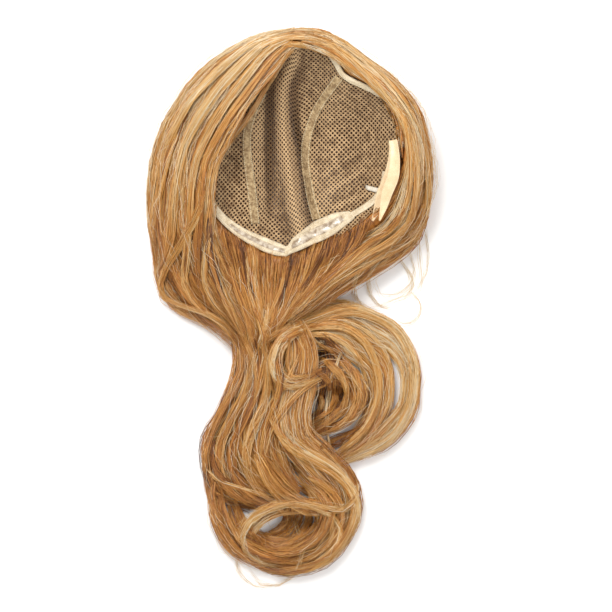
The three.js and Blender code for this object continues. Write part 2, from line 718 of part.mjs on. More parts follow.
const rightWave = [
  {
    locks: 2, // the outer loop
    rows: lockRows(
      [-0.12, 1.2, 0.24, 0.08, 0.6, 0],
      [0.04, 1.175, 0.2, 0.13, 0.9, 0],
      [0.2, 1.185, 0.15, 0.15, 0.9, 0],
      [0.34, 1.215, 0.1, 0.14, 0.85, 0],
      [0.46, 1.27, 0.08, 0.12, 0.8, 0],
      [0.53, 1.34, 0.07, 0.1, 0.8, 0],
      [0.545, 1.42, 0.07, 0.09, 0.8, 0],
      [0.51, 1.495, 0.08, 0.1, 0.8, 0],
      [0.42, 1.56, 0.09, 0.1, 0.8, 0],
      [0.31, 1.605, 0.1, 0.08, 0.7, 0],
      [0.2, 1.64, 0.1, 0.04, 0.4, 0],
    ),
  },
  {
    locks: 2, // the loop inside it
    rows: lockRows(
      [-0.06, 1.25, 0.24, 0.1, 0.5, 0],
      [0.14, 1.24, 0.21, 0.16, 0.9, 0],
      [0.28, 1.275, 0.15, 0.16, 0.9, 0],
      [0.375, 1.34, 0.1, 0.13, 0.8, 0],
      [0.4, 1.42, 0.08, 0.11, 0.8, 0],
      [0.37, 1.5, 0.09, 0.1, 0.8, 0],
      [0.29, 1.575, 0.11, 0.09, 0.8, 0],
      [0.19, 1.63, 0.12, 0.04, 0.4, 0],
    ),
  },
];

const innerCurl = [
  {
    locks: 2, // the curl in the middle of the loops
    rows: lockRows(
      [-0.06, 1.45, 0.34, 0.06, 0.3, 0],
      [0.03, 1.39, 0.33, 0.1, 0.6, 0],
      [0.15, 1.36, 0.28, 0.12, 0.7, 0],
      [0.25, 1.385, 0.2, 0.11, 0.8, 0],
      [0.275, 1.445, 0.14, 0.1, 0.8, 0],
      [0.21, 1.495, 0.13, 0.1, 0.8, 0],
      [0.1, 1.525, 0.14, 0.1, 0.8, 0],
      [0.0, 1.56, 0.16, 0.05, 0.4, 0],
    ),
  },
];

const loopLock = [
  {
    locks: 1, // a bright lock that loops below the nape
    rows: lockRows(
      [0.0, 1.225, 0.5, 0.03, 0.2, 0],
      [-0.09, 1.265, 0.54, 0.06, 0.45, 0],
      [-0.13, 1.32, 0.55, 0.065, 0.45, 0],
      [-0.1, 1.375, 0.53, 0.06, 0.45, 0],
      [0.0, 1.385, 0.5, 0.05, 0.45, 0],
      [0.1, 1.35, 0.45, 0.03, 0.2, 0],
    ),
  },
];

const endCurl = [
  {
    locks: 2, // down the middle, then round the right and the bottom
    rows: lockRows(
      [-0.05, 1.2, 0.44, 0.1, 0.4, 0],
      [-0.01, 1.29, 0.42, 0.15, 0.7, 0],
      [-0.02, 1.39, 0.42, 0.17, 0.8, 0],
      [-0.05, 1.48, 0.44, 0.16, 0.8, 0],
      [-0.03, 1.565, 0.44, 0.16, 0.8, 0],
      [0.07, 1.635, 0.34, 0.17, 1.0, 0],
      [0.18, 1.71, 0.2, 0.17, 1.1, 0],
      [0.205, 1.79, 0.14, 0.16, 1.2, 0],
      [0.15, 1.87, 0.14, 0.16, 1.2, 0],
      [0.04, 1.93, 0.14, 0.15, 1.2, 0],
      [-0.1, 1.95, 0.14, 0.14, 1.1, 0],
      [-0.21, 1.93, 0.14, 0.1, 0.6, 0],
    ),
  },
  {
    locks: 1, // down the left to the bottom
    rows: lockRows(
      [-0.43, 1.7, 0.14, 0.05, 0.6, 0],
      [-0.425, 1.785, 0.13, 0.08, 1.0, 0],
      [-0.385, 1.86, 0.14, 0.1, 1.1, 0],
      [-0.305, 1.915, 0.14, 0.11, 1.1, 0],
      [-0.17, 1.95, 0.14, 0.11, 1.0, 0],
    ),
  },
  {
    locks: 1, // the arch over the curl
    rows: lockRows(
      [0.21, 1.77, 0.3, 0.04, 0.4, 0],
      [0.1, 1.79, 0.36, 0.08, 0.6, 0],
      [-0.02, 1.78, 0.38, 0.08, 0.6, 0],
      [-0.15, 1.79, 0.36, 0.08, 0.6, 0],
      [-0.25, 1.835, 0.32, 0.08, 0.6, 0],
      [-0.28, 1.89, 0.26, 0.08, 0.6, 0],
      [-0.22, 1.935, 0.24, 0.08, 0.6, 0],
      [-0.1, 1.955, 0.24, 0.04, 0.4, 0],
    ),
  },
];

// The hair that the net is sewn to: a thick bowl round the outside of the cap, flat where it
// rests on the table. out: share of the skirt. rise: share of the edge's height.
const skirtProfile = [
  { out: 0.12, rise: 1.0, lip: 0.7 },
  { out: 0.4, rise: 1.0, lip: 1.0 },
  { out: 0.75, rise: 0.84, lip: 0.5 },
  { out: 0.97, rise: 0.55, lip: 0 },
  { out: 1.0, rise: 0.28, lip: 0 },
  { out: 0.85, rise: 0.0, lip: 0 },
];
const crownSteps = { round: 40, out: 6 };
function crownHair(grow = 0) {
  const inside = netWall + crownGap - grow;
  const spokes = [];
  for (let k = 0; k < crownSteps.round; k++) {
    const angle = (k / crownSteps.round) * wholeTurn;
    const spoke = [];
    for (let i = 1; i <= crownSteps.out; i++) {
      const share = i / crownSteps.out;
      const room = inside + smooth(share, 0.75, 0.92) * (bindingThick + 2 * sewnGap);
      const turnUp = i === crownSteps.out ? 1.04 : share;
      spoke.push(offsetPoint(bowlHeight, ...spokePoint(angle, turnUp), -room));
    }
    const edgeHeight = edgeAt("rise", angle) * restHeight;
    const [ex, ey] = spokePoint(angle, 1.04);
    const outward = new THREE.Vector3(Math.cos(angle), Math.sin(angle), 0);
    for (const row of skirtProfile) {
      const out = row.out * edgeAt("skirt", angle) * skirtWidth + grow;
      const z = row.rise * edgeHeight + row.lip * lipHeight;
      const p = new THREE.Vector3(ex, ey, z + grow).addScaledVector(outward, out);
      if (row.rise === 0) p.z = -grow;
      spoke.push(p);
    }
    spokes.push(spoke);
  }
  const n = spokes[0].length;
  const top = offsetPoint(bowlHeight, capX, capY, -inside);
  const bottom = new THREE.Vector3(capX, capY, -grow);
  const points = [...spokes.flat(), top, bottom];
  const [topAt, bottomAt] = [points.length - 2, points.length - 1];
  const triangles = [];
  spokes.forEach((_, k) => {
    const next = (k + 1) % spokes.length;
    triangles.push([topAt, k * n, next * n], [bottomAt, next * n + n - 1, k * n + n - 1]);
    for (let i = 0; i + 1 < n; i++) {
      const [a, b, c, d] = [k * n + i, k * n + i + 1, next * n + i + 1, next * n + i];
      triangles.push([a, b, c], [a, c, d]);
    }
  });
  return toSolid(geometryOf(points, triangles));
}

// Each mass of hair is cut back from those that were laid before it, so that it lies on them.
function layHair() {
  const clear = 2 * sewnGap + napeBandThick + gripThick + hairGap;
  const underCap = netWall + bindingThick + sewnGap + hairGap;
  const room = capRoom(underCap, clear);
  const strapRoom = toSolid(flatStrap(strapRows, strapWidth + 2 * hairGap, strapThick + 2 * hairGap, 3));
  const laid = {};
  const cutters = [];
  const lay = (name, build, ...extra) => {
    laid[name] = thinned(cut(build(0), ...extra, ...cutters));
    cutters.push(build(hairGap));
  };
  lay("crown_hair", (grow) => crownHair(2 * grow), strapRoom);
  lay("front_hair_left", (grow) => mass(frontLeft, grow), room, strapRoom);
  lay("front_hair_right", (grow) => mass(frontRight, grow), room, strapRoom);
  lay("nape_hair", (grow) => mass(napeHair, grow), room);
  lay("left_wave", (grow) => mass(leftWave, grow));
  lay("right_wave", (grow) => mass(rightWave, grow));
  lay("inner_curl", (grow) => mass(innerCurl, grow));
  lay("end_curl", (grow) => mass(endCurl, grow));
  lay("loop_lock", (grow) => mass(loopLock, grow));
  return laid;
}

// The assembly

const wig = new THREE.Group();
wig.name = "long_wavy_wig";
function addPiece(name, solid, colour) {
  const piece = new THREE.Mesh(toGeometry(solid), new THREE.MeshStandardMaterial(colour));
  piece.name = name;
  wig.add(piece);
}

addPiece("net_cap", netCap(), colours.net);
addPiece("seam_tape_left", seamTape(seamLeft), colours.tape);
addPiece("seam_tape_right", seamTape(seamRight), colours.tape);
addPiece("edge_binding", edgeBinding(), colours.band);
addPiece("nape_band", napeBand(), colours.band);
addPiece("grip_strip_left", gripStrip(1.2, 4.8), colours.grip);
addPiece("grip_strip_right", gripStrip(5.6, 9.2), colours.grip);
addPiece("strap_casing", strapCasing(), colours.band);
addPiece("adjuster_strap", toSolid(flatStrap(strapRows, strapWidth, strapThick, 3)), colours.strap);
addPiece("hook_tab", hookTab(), colours.band);

const hairColours = {
  crown_hair: colours.hairDeep,
  front_hair_left: colours.hairLight,
  front_hair_right: colours.hairLight,
  nape_hair: colours.hairDeep,
  left_wave: colours.hairMid,
  right_wave: colours.hairLight,
  inner_curl: colours.hairMid,
  end_curl: colours.hairMid,
  loop_lock: colours.hairLight,
};
for (const [name, solid] of Object.entries(layHair())) addPiece(name, solid, hairColours[name]);

export default wig;
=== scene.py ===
# A long wavy wig that lies on its outside: an open net cap with sewn tapes, and hair in loose waves.
# Metres in the scene, millimetres in the tables. +Z is up out of the cap, +Y is the front hairline.
import json
import math
from functools import partial

import bpy
import numpy as np
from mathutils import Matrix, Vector
from mathutils.bvhtree import BVHTree

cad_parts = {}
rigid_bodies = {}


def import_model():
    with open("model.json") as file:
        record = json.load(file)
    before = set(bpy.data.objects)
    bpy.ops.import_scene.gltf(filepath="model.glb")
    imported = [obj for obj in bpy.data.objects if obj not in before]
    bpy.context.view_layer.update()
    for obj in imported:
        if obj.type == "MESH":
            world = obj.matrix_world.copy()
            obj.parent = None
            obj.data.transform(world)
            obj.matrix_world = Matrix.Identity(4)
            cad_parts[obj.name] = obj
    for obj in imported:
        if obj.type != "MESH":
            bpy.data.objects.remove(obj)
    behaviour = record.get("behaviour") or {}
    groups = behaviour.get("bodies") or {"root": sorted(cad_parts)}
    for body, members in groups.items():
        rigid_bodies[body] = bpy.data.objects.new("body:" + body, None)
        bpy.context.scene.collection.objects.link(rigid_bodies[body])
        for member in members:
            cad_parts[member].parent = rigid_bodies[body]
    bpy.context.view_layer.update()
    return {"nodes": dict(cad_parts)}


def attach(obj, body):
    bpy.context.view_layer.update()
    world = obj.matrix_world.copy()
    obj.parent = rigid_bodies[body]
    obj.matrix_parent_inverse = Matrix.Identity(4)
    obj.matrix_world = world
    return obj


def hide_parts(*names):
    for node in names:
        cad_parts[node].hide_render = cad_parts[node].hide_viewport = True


for leftOver in list(bpy.data.objects):
    bpy.data.objects.remove(leftOver)
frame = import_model()
mm = 0.001
print("frame loaded:", len(frame["nodes"]), "nodes")


def colour(code):  # sRGB hex to the linear values that sockets take
    parts = [int(code[i : i + 2], 16) / 255 for i in (1, 3, 5)]
    return [p / 12.92 if p <= 0.04045 else ((p + 0.055) / 1.055) ** 2.4 for p in parts] + [1.0]


def addNode(tree, kind, inputs=None, **settings):
    made = tree.nodes.new(kind)
    for key, value in settings.items():
        setattr(made, key, value)
    for key, value in (inputs or {}).items():
        if isinstance(value, bpy.types.Node):
            value = value.outputs[0]
        if isinstance(value, bpy.types.NodeSocket):
            tree.links.new(value, made.inputs[key])
        else:
            made.inputs[key].default_value = value
    return made


# Camera, floor and light.

view = {
    "overX": 17.4, "overY": -4.0, "planeZ": 30.0, "lens": 250.0, "sensor": 36.0, "frameWidth": 612.0,
    "seesTo": 100.0,
}
light = {
    "sky": 0.76,
    "key": {"place": (-0.5, 1.0, 1.7), "size": 1.2, "power": 34.0},
    "fill": {"place": (1.2, -0.6, 1.4), "size": 1.4, "power": 9.0},
}
floorLook = {"reach": 6.0, "low": -0.0004, "tone": "#FEFEFD", "rough": 0.9}

camera = bpy.data.objects.new("camera", bpy.data.cameras.new("camera"))
camera.data.lens = view["lens"]
camera.data.sensor_width = view["sensor"]
camera.data.clip_end = view["seesTo"]
cameraHeight = view["frameWidth"] * mm * view["lens"] / view["sensor"] + view["planeZ"] * mm
camera.location = (view["overX"] * mm, view["overY"] * mm, cameraHeight)
bpy.context.collection.objects.link(camera)
bpy.context.scene.camera = camera


def softLight(name, place, size, power):  # a round lamp that points at the origin
    lamp = bpy.data.lights.new(name, "AREA")
    lamp.shape = "DISK"
    lamp.size = size
    lamp.energy = power
    made = bpy.data.objects.new(name, lamp)
    made.location = place
    made.rotation_euler = (-Vector(place)).to_track_quat("-Z", "Y").to_euler()
    bpy.context.collection.objects.link(made)


softLight("keyLight", **light["key"])
softLight("fillLight", **light["fill"])
world = bpy.data.worlds.new("studio")
bpy.context.scene.world = world
world.use_nodes = True
world.node_tree.nodes["Background"].inputs["Color"].default_value = (1, 1, 1, 1)
world.node_tree.nodes["Background"].inputs["Strength"].default_value = light["sky"]
bpy.context.scene.view_settings.view_transform = "Standard"

floorMesh = bpy.data.meshes.new("floor")
floorWay = floorLook["reach"]
floorCorners = [
    (floorWay * x, floorWay * y, floorLook["low"]) for x, y in ((-1, -1), (1, -1), (1, 1), (-1, 1))
]
floorMesh.from_pydata(floorCorners, [], [(0, 1, 2, 3)])
floor = bpy.data.objects.new("floor", floorMesh)
bpy.context.collection.objects.link(floor)
paper = bpy.data.materials.new("white_paper_floor")
paper.use_nodes = True
paper.node_tree.nodes["Principled BSDF"].inputs["Base Color"].default_value = colour(floorLook["tone"])
paper.node_tree.nodes["Principled BSDF"].inputs["Roughness"].default_value = floorLook["rough"]
floorMesh.materials.append(paper)
print("camera, floor and lights set")

# The cap's form, which every piece on it shares.

wholeTurn = 2 * math.pi
capSizes = {
    "length": 210.0,
    "width": 200.0,
    "middleX": 13.4,
    "frontY": 255.0,
    "rest": 72.0,  # front edge above the table
    "hairUnder": 17.0,
    "bowlCurve": 2.3,
}
capMiddleY = capSizes["frontY"] - capSizes["length"] / 2


def table(columns, *rows):  # columns of named numbers
    return {name: np.array([row[i] for row in rows], float) for i, name in enumerate(columns.split())}


# Every 15 degrees from the strap's side (+X) towards the front.
capEdge = table(
    "reach rise skirt",
    (0.98, 0.86, 0.4), (1.01, 0.88, 0.35), (0.98, 0.9, 0.32), (0.87, 0.92, 0.36),
    (0.83, 0.95, 0.5), (0.97, 0.98, 0.48), (1, 1, 0.44), (0.95, 0.98, 0.54),
    (0.9, 0.95, 0.6), (0.87, 0.92, 0.66), (0.88, 0.89, 0.72), (0.92, 0.86, 0.76),
    (0.97, 0.82, 0.78), (1.01, 0.75, 0.8), (1.03, 0.66, 0.84), (1.01, 0.57, 0.88),
    (0.99, 0.5, 0.92), (0.975, 0.46, 0.95), (0.9, 0.46, 0.95), (0.85, 0.49, 0.92),
    (0.83, 0.55, 0.85), (0.85, 0.62, 0.75), (0.91, 0.7, 0.6), (0.95, 0.79, 0.48),
)


def capFold(lift, left, right, *line):
    return {"lift": lift, "left": left, "right": right, "line": table("across down", *line)}


# Folds of the empty net: lift, and the width on each side, in millimetres. across and down are shares of the
# cap's width and length, with 0, 0 at the front of the edge.
capFolds = [
    capFold(
        19.0, 10.0, 7.0,
        (-0.04, 0.06), (-0.09, 0.2), (-0.09, 0.4), (-0.065, 0.58), (-0.035, 0.78), (-0.01, 0.9),
    ),
    capFold(7.0, 13.0, 11.0, (-0.21, 0.3), (-0.25, 0.5), (-0.27, 0.8)),
    capFold(6.5, 16.0, 21.0, (0.17, 0.2), (0.15, 0.5), (0.13, 0.8)),
    capFold(-9.0, 3.0, 5.0, (-0.04, 0.32), (-0.005, 0.52), (0.02, 0.7), (0.045, 0.83)),
    capFold(-7.0, 5.0, 6.0, (-0.165, 0.18), (-0.165, 0.5), (-0.16, 0.76)),
]
foldEnd = 0.22  # share of its length over which a fold dies away
# Shallow wrinkles that run across the side panels.
capWrinkles = [
    {"lift": 1.8, "width": 3.0, "start": (0.08, 0.72), "end": (0.35, 0.56)},
    {"lift": -1.5, "width": 3.5, "start": (0.1, 0.65), "end": (0.33, 0.49)},
    {"lift": 1.5, "width": 3.0, "start": (0.11, 0.79), "end": (0.36, 0.68)},
    {"lift": 1.3, "width": 3.0, "start": (-0.43, 0.6), "end": (-0.3, 0.7)},
    {"lift": -1.2, "width": 3.0, "start": (-0.4, 0.5), "end": (-0.24, 0.6)},
]
wrinkleEnd = 0.25  # share of its length over which a wrinkle dies away


def planX(across):
    return capSizes["middleX"] + np.asarray(across, float) * capSizes["width"]


def planY(down):
    return capSizes["frontY"] - np.asarray(down, float) * capSizes["length"]


def columnAt(rows, column, t, closed=False):  # smooth value of a column, t rows from the first
    values = rows[column]
    n = len(values)
    t = np.asarray(t, float)
    i = np.floor(t).astype(int)
    if not closed:
        i = np.clip(i, 0, n - 2)
    f = t - i
    a, b, c, d = (values[(i + k) % n] if closed else values[np.clip(i + k, 0, n - 1)] for k in (-1, 0, 1, 2))
    return b + 0.5 * f * (c - a + f * (2 * a - 5 * b + 4 * c - d + f * (3 * (b - c) + d - a)))


def smoothStep(t):
    t = np.clip(t, 0, 1)
    return t * t * (3 - 2 * t)


def edgeAt(column, angle):
    turns = (np.asarray(angle) / wholeTurn) % 1
    return columnAt(capEdge, column, turns * len(capEdge[column]), closed=True)


def capShare(x, y):  # how far out a place of the plan is, and in which direction
    u = (x - capSizes["middleX"]) / (capSizes["width"] / 2)
    v = (y - capMiddleY) / (capSizes["length"] / 2)
    angle = np.arctan2(v, u)
    return np.hypot(u, v) / edgeAt("reach", angle), angle


def bowlHeight(x, y):
    share, angle = capShare(x, y)
    rise = edgeAt("rise", angle) * capSizes["rest"] - capSizes["hairUnder"]
    return capSizes["hairUnder"] + rise * share ** capSizes["bowlCurve"]


def netHeight(x, y):
    height = bowlHeight(x, y)
    down = (capSizes["frontY"] - y) / capSizes["length"]
    for fold in capFolds:
        line = fold["line"]
        first, last = line["down"][0], line["down"][-1]
        rows = np.interp(down, line["down"], np.arange(len(line["down"])))
        aside = x - planX(columnAt(line, "across", rows))
        width = np.where(aside < 0, fold["left"], fold["right"])
        t = (down - first) / (last - first)
        starting = smoothStep((t + foldEnd) / (2 * foldEnd))
        ending = 1 - smoothStep((t - (1 - foldEnd)) / (2 * foldEnd))
        height = height + fold["lift"] * starting * ending * np.exp(-((aside / width) ** 2))
    for wrinkle in capWrinkles:
        start, end = (np.array([planX(a), planY(d)]) for a, d in (wrinkle["start"], wrinkle["end"]))
        long = np.hypot(*(end - start))
        ahead = (end - start) / long
        along = ((x - start[0]) * ahead[0] + (y - start[1]) * ahead[1]) / long
        aside = (x - start[0]) * -ahead[1] + (y - start[1]) * ahead[0]
        fade = np.clip(np.minimum(along, 1 - along) / wrinkleEnd, 0, 1)
        height = height + wrinkle["lift"] * fade * np.exp(-((aside / wrinkle["width"]) ** 2))
    return height


def offsetPoints(height, x, y, off):  # points that lie off millimetres from a surface, along its normal
    x, y = np.asarray(x, float), np.asarray(y, float)
    slopeX = height(x + 0.5, y) - height(x - 0.5, y)
    slopeY = height(x, y + 0.5) - height(x, y - 0.5)
    long = np.sqrt(slopeX**2 + slopeY**2 + 1)
    z = height(x, y)
    return np.stack([x - slopeX / long * off, y - slopeY / long * off, z + off / long], -1)


def spokePoint(angle, share):  # a place of the plan, with share 1 on the cap's edge
    reach = edgeAt("reach", angle) * share
    x = capSizes["middleX"] + reach * np.cos(angle) * capSizes["width"] / 2
    y = capMiddleY + reach * np.sin(angle) * capSizes["length"] / 2
    return np.stack([x, y], -1)


def unit(vectors):
    return vectors / np.linalg.norm(vectors, axis=1, keepdims=True)


def rolledSides(at, t, last, reach, roll):  # across and up from a line, turned about it by roll degrees
    ahead = unit(at(np.minimum(last, t + reach)) - at(np.maximum(0, t - reach)))
    flat = unit(np.cross([0, 0, 1.0], ahead))
    turn = np.radians(roll)[:, None]
    side = flat * np.cos(turn) + np.cross(ahead, flat) * np.sin(turn)
    return side, np.cross(ahead, side)


def gridAt(grid, i, j):  # a value between the places of a grid, i along a row and j down a column
    i, j = np.clip(i, 0, grid.shape[1] - 1.001), np.clip(j, 0, grid.shape[0] - 1.001)
    i0, j0 = i.astype(int), j.astype(int)
    fi, fj = i - i0, j - j0
    low = grid[j0, i0] * (1 - fi) + grid[j0, i0 + 1] * fi
    high = grid[j0 + 1, i0] * (1 - fi) + grid[j0 + 1, i0 + 1] * fi
    return low * (1 - fj) + high * fj


# Shared ways to make a mesh.


def newPiece(name, points, faces, material):  # points in millimetres
    mesh = bpy.data.meshes.new(name)
    mesh.from_pydata((np.asarray(points, float).reshape(-1, 3) * mm).tolist(), [], [tuple(f) for f in faces])
    mesh.polygons.foreach_set("use_smooth", [True] * len(mesh.polygons))
    mesh.materials.append(material)
    mesh.update()
    made = bpy.data.objects.new(name, mesh)
    bpy.context.collection.objects.link(made)
    return made


def lineHost(name, points, edges):  # lines in millimetres, for a tree to follow
    mesh = bpy.data.meshes.new(name)
    mesh.from_pydata((np.concatenate(points) * mm).tolist(), edges, [])
    host = bpy.data.objects.new(name, mesh)
    bpy.context.collection.objects.link(host)
    return host


def meshPoints(mesh):  # in millimetres
    flat = np.empty(len(mesh.vertices) * 3)
    mesh.vertices.foreach_get("co", flat)
    return flat.reshape(-1, 3) / mm


def moveMesh(mesh, points):
    mesh.vertices.foreach_set("co", (points * mm).ravel())
    mesh.update()


def storeValues(mesh, name, kind, values):
    layer = mesh.attributes.new(name, kind, "POINT")
    layer.data.foreach_set("vector" if kind == "FLOAT_VECTOR" else "value", np.ravel(values))


def loftRings(rings):  # rings of equally many points, closed at both ends, faces outwards
    rings = np.asarray(rings, float)
    count, around = rings.shape[:2]
    points = rings.reshape(-1, 3)
    faces = []
    for i in range(count - 1):
        for k in range(around):
            a, b = i * around + k, i * around + (k + 1) % around
            faces.append((a, b, b + around, a + around))
    faces.append(tuple(range(around))[::-1])
    faces.append(tuple((count - 1) * around + k for k in range(around)))
    a, b, c = (points[[f[j] for f in faces[:-2]]] for j in (0, 1, 2))
    if np.einsum("ij,ij->i", a - points.mean(0), np.cross(b - a, c - a)).sum() < 0:
        faces = [f[::-1] for f in faces]
    return points, faces


def joinMeshes(parts):  # parts are (points, faces)
    points, faces, start = [], [], 0
    for p, f in parts:
        points.append(p)
        faces += [tuple(i + start for i in face) for face in f]
        start += len(p)
    return np.concatenate(points), faces


def newTree(name, inputs):  # a Geometry Nodes tree, a way to add its nodes, and its named inputs
    tree = bpy.data.node_groups.new(name, "GeometryNodeTree")
    for title, kind in {"Geometry": "Geometry", **inputs}.items():
        tree.interface.new_socket(title, in_out="INPUT", socket_type="NodeSocket" + kind)
    tree.interface.new_socket("Geometry", in_out="OUTPUT", socket_type="NodeSocketGeometry")
    add = partial(addNode, tree)
    return tree, add, add("NodeGroupInput").outputs


def treeInputs(modifier, values):  # sets named inputs by their socket's identifier
    for item in modifier.node_group.interface.items_tree:
        if item.item_type == "SOCKET" and item.in_out == "INPUT" and item.name in values:
            modifier[item.identifier] = values[item.name]


def runTree(host, tree, values):  # a Geometry Nodes tree on a host mesh, turned to a plain mesh
    modifier = host.modifiers.new(tree.name, "NODES")
    modifier.node_group = tree
    treeInputs(modifier, values)
    evaluated = host.evaluated_get(bpy.context.evaluated_depsgraph_get())
    mesh = bpy.data.meshes.new_from_object(evaluated)
    mesh.name = host.name
    host.modifiers.remove(modifier)
    return mesh


# Finishes of the cloth pieces.


def newFinish(name):  # a material, a way to add its nodes, and its shader
    made = bpy.data.materials.new(name)
    made.use_nodes = True
    return made, partial(addNode, made.node_tree), made.node_tree.nodes["Principled BSDF"]


def setStops(ramp, stops):
    elements = ramp.color_ramp.elements
    while len(elements) < len(stops):
        elements.new(0.5)
    for stop, (place, tone) in zip(elements, stops):
        stop.position, stop.color = place, colour(tone)


def joinShader(made, shader, ramp, bump):
    made.node_tree.links.new(ramp.outputs["Color"], shader.inputs["Base Color"])
    made.node_tree.links.new(bump.outputs["Normal"], shader.inputs["Normal"])


# Scales of the weave and of wider patches, how much the patches count, and where their sum is deep in tone.
clothLook = {
    "weave": 0.6, "patches": 160.0, "patchShare": 0.5, "level": 0.11, "deepAt": 0.72, "coatRough": 0.12,
}


def clothFinish(name, pale, deep, rough, grain, relief, sheen=0.0, coat=0.0, paintedFoldShade=0.0):
    # grain is the size in millimetres of the yarn or weave, relief how far it stands out. The fold amount is
    # painted light and shade: how much paler a crest is painted than a crease. Tape, satin and velour are
    # really woven finer, too fine to show, and are drawn as coarse as they need to be.
    made, add, shader = newFinish(name)
    place = add("ShaderNodeTexCoord").outputs["Object"]
    weaveScale = clothLook["weave"] / (grain * mm)
    weave = add("ShaderNodeTexNoise", {"Vector": place, "Scale": weaveScale, "Detail": 3.0})
    patch = add("ShaderNodeTexNoise", {"Vector": place, "Scale": clothLook["patches"], "Detail": 1.0})
    both = {0: patch, 1: clothLook["patchShare"], 2: weave}
    blend = add("ShaderNodeMath", both, operation="MULTIPLY_ADD")
    # painted light on fold crests and painted shade in fold creases
    if paintedFoldShade:
        crest = add("ShaderNodeAttribute", attribute_name="crest").outputs["Fac"]
        blend = add("ShaderNodeMath", {0: crest, 1: paintedFoldShade, 2: blend}, operation="MULTIPLY_ADD")
    level = add("ShaderNodeMath", {0: blend, 1: clothLook["level"]}, operation="ADD")
    ramp = add("ShaderNodeValToRGB", {0: level})
    setStops(ramp, ((clothLook["deepAt"], deep), (1.0, pale)))
    bump = add("ShaderNodeBump", {"Strength": relief, "Distance": grain * mm, "Height": weave})
    joinShader(made, shader, ramp, bump)
    shader.inputs["Roughness"].default_value = rough
    shader.inputs["Sheen Weight"].default_value = sheen
    shader.inputs["Coat Weight"].default_value = coat
    shader.inputs["Coat Roughness"].default_value = clothLook["coatRough"]
    return made


finishes = {
    # knitted nylon yarn: matt tan, a little fuzzy, with painted light on the crests of its folds and painted
    # shade in their creases
    "net": clothFinish("knitted_nylon_net", "#C4A276", "#7A5D3C", 0.8, 0.5, 0.5, sheen=0.15, paintedFoldShade=0.5),
    # cotton tape: flat and dull, with the weave just showing
    "tape": clothFinish("woven_cotton_tape", "#C2A87E", "#8A6F4C", 0.85, 1.6, 0.9),
    # jersey folded round the edge: pale cream, soft
    "binding": clothFinish("cotton_jersey_binding", "#EBDCBE", "#CBB794", 0.75, 0.5, 0.35, sheen=0.2),
    # padded velour: cream with a faint lustre
    "velour": clothFinish("padded_velour_band", "#E6D6B8", "#BBA684", 0.55, 0.45, 0.3, sheen=0.35),
    # silicone poured on the band: clear over taupe, wet highlights
    "grip": clothFinish("clear_silicone_strip", "#D6C8B2", "#9A8670", 0.14, 3.0, 0.5, coat=1.0),
    # satin ribbon: peach, smooth, soft long highlights
    "satin": clothFinish("satin_ribbon", "#EDD6AE", "#DDBD92", 0.42, 0.35, 0.15, coat=0.15),
    # white nylon webbing
    "tab": clothFinish("white_nylon_tab", "#E6DFD0", "#C9BFA9", 0.6, 0.5, 0.3),
    # sewing thread
    "thread": clothFinish("polyester_thread", "#EFE6CC", "#D5C7A2", 0.6, 0.3, 0.2),
}

# The net.

# pitch is from hole to hole, yarn its share that is yarn, and skew the turn of the rows of holes, in degrees.
# The net ends at a share outTo of the cap's edge, and between two angles it is frayed out to frayTo.
net = {
    "pitch": 3.35, "yarn": 0.27, "wall": 0.8, "cells": 48, "skew": 45.0, "outTo": 1.0, "frayTo": 1.055,
    "frayFrom": 292.0, "frayEnd": 324.0,
}
netGive = 0.7  # past this slope the knit stretches
clothReach = 128  # the cloth is measured this far from the cap's middle, each millimetre
clothSolve = {"rounds": 40, "share": 0.6}


def clothPlaces():  # how far along the cloth each millimetre of the plan lies, across and along
    xs = capSizes["middleX"] + np.arange(-clothReach, clothReach + 1.0)
    ys = capMiddleY + np.arange(-clothReach, clothReach + 1.0)
    gridX, gridY = np.meshgrid(xs, ys)
    height = netHeight(gridX, gridY)
    stepX = np.hypot(1, np.clip(np.diff(height, axis=1), -netGive, netGive))
    stepY = np.hypot(1, np.clip(np.diff(height, axis=0), -netGive, netGive))
    alongX = np.pad(np.cumsum(stepX, 1), ((0, 0), (1, 0)))
    alongY = np.pad(np.cumsum(stepY, 0), ((1, 0), (0, 0)))
    return alongX - alongX[:, clothReach : clothReach + 1], alongY - alongY[clothReach : clothReach + 1]


clothX, clothY = clothPlaces()


def clothToPlan(a, b):  # where a place of the flat cloth comes to lie, seen from above
    x, y = a.copy(), b.copy()
    for _ in range(clothSolve["rounds"]):
        i, j = x + clothReach, y + clothReach
        x = x + clothSolve["share"] * (a - gridAt(clothX, i, j))
        y = y + clothSolve["share"] * (b - gridAt(clothY, i, j))
        x, y = np.clip(x, -clothReach, clothReach), np.clip(y, -clothReach, clothReach)
    return x + capSizes["middleX"], y + capMiddleY


def netCell():  # one mesh of the net: a square of yarn with an eight-sided hole
    half, hole = net["pitch"] / 2, net["pitch"] * (1 - net["yarn"]) / 2
    points = [(half * x, half * y, 0) for x, y in ((1, 1), (-1, 1), (-1, -1), (1, -1))]
    for k in range(8):
        turn = (k + 0.5) / 8 * wholeTurn
        points.append((hole * math.cos(turn), hole * math.sin(turn), 0))
    faces = []
    for k in range(4):
        first, second, third = 4 + 2 * k, 5 + 2 * k, 4 + (2 * k + 2) % 8
        faces += [(k, second, first), (k, (k + 1) % 4, third, second)]
    return newPiece("netCell", points, faces, finishes["net"])


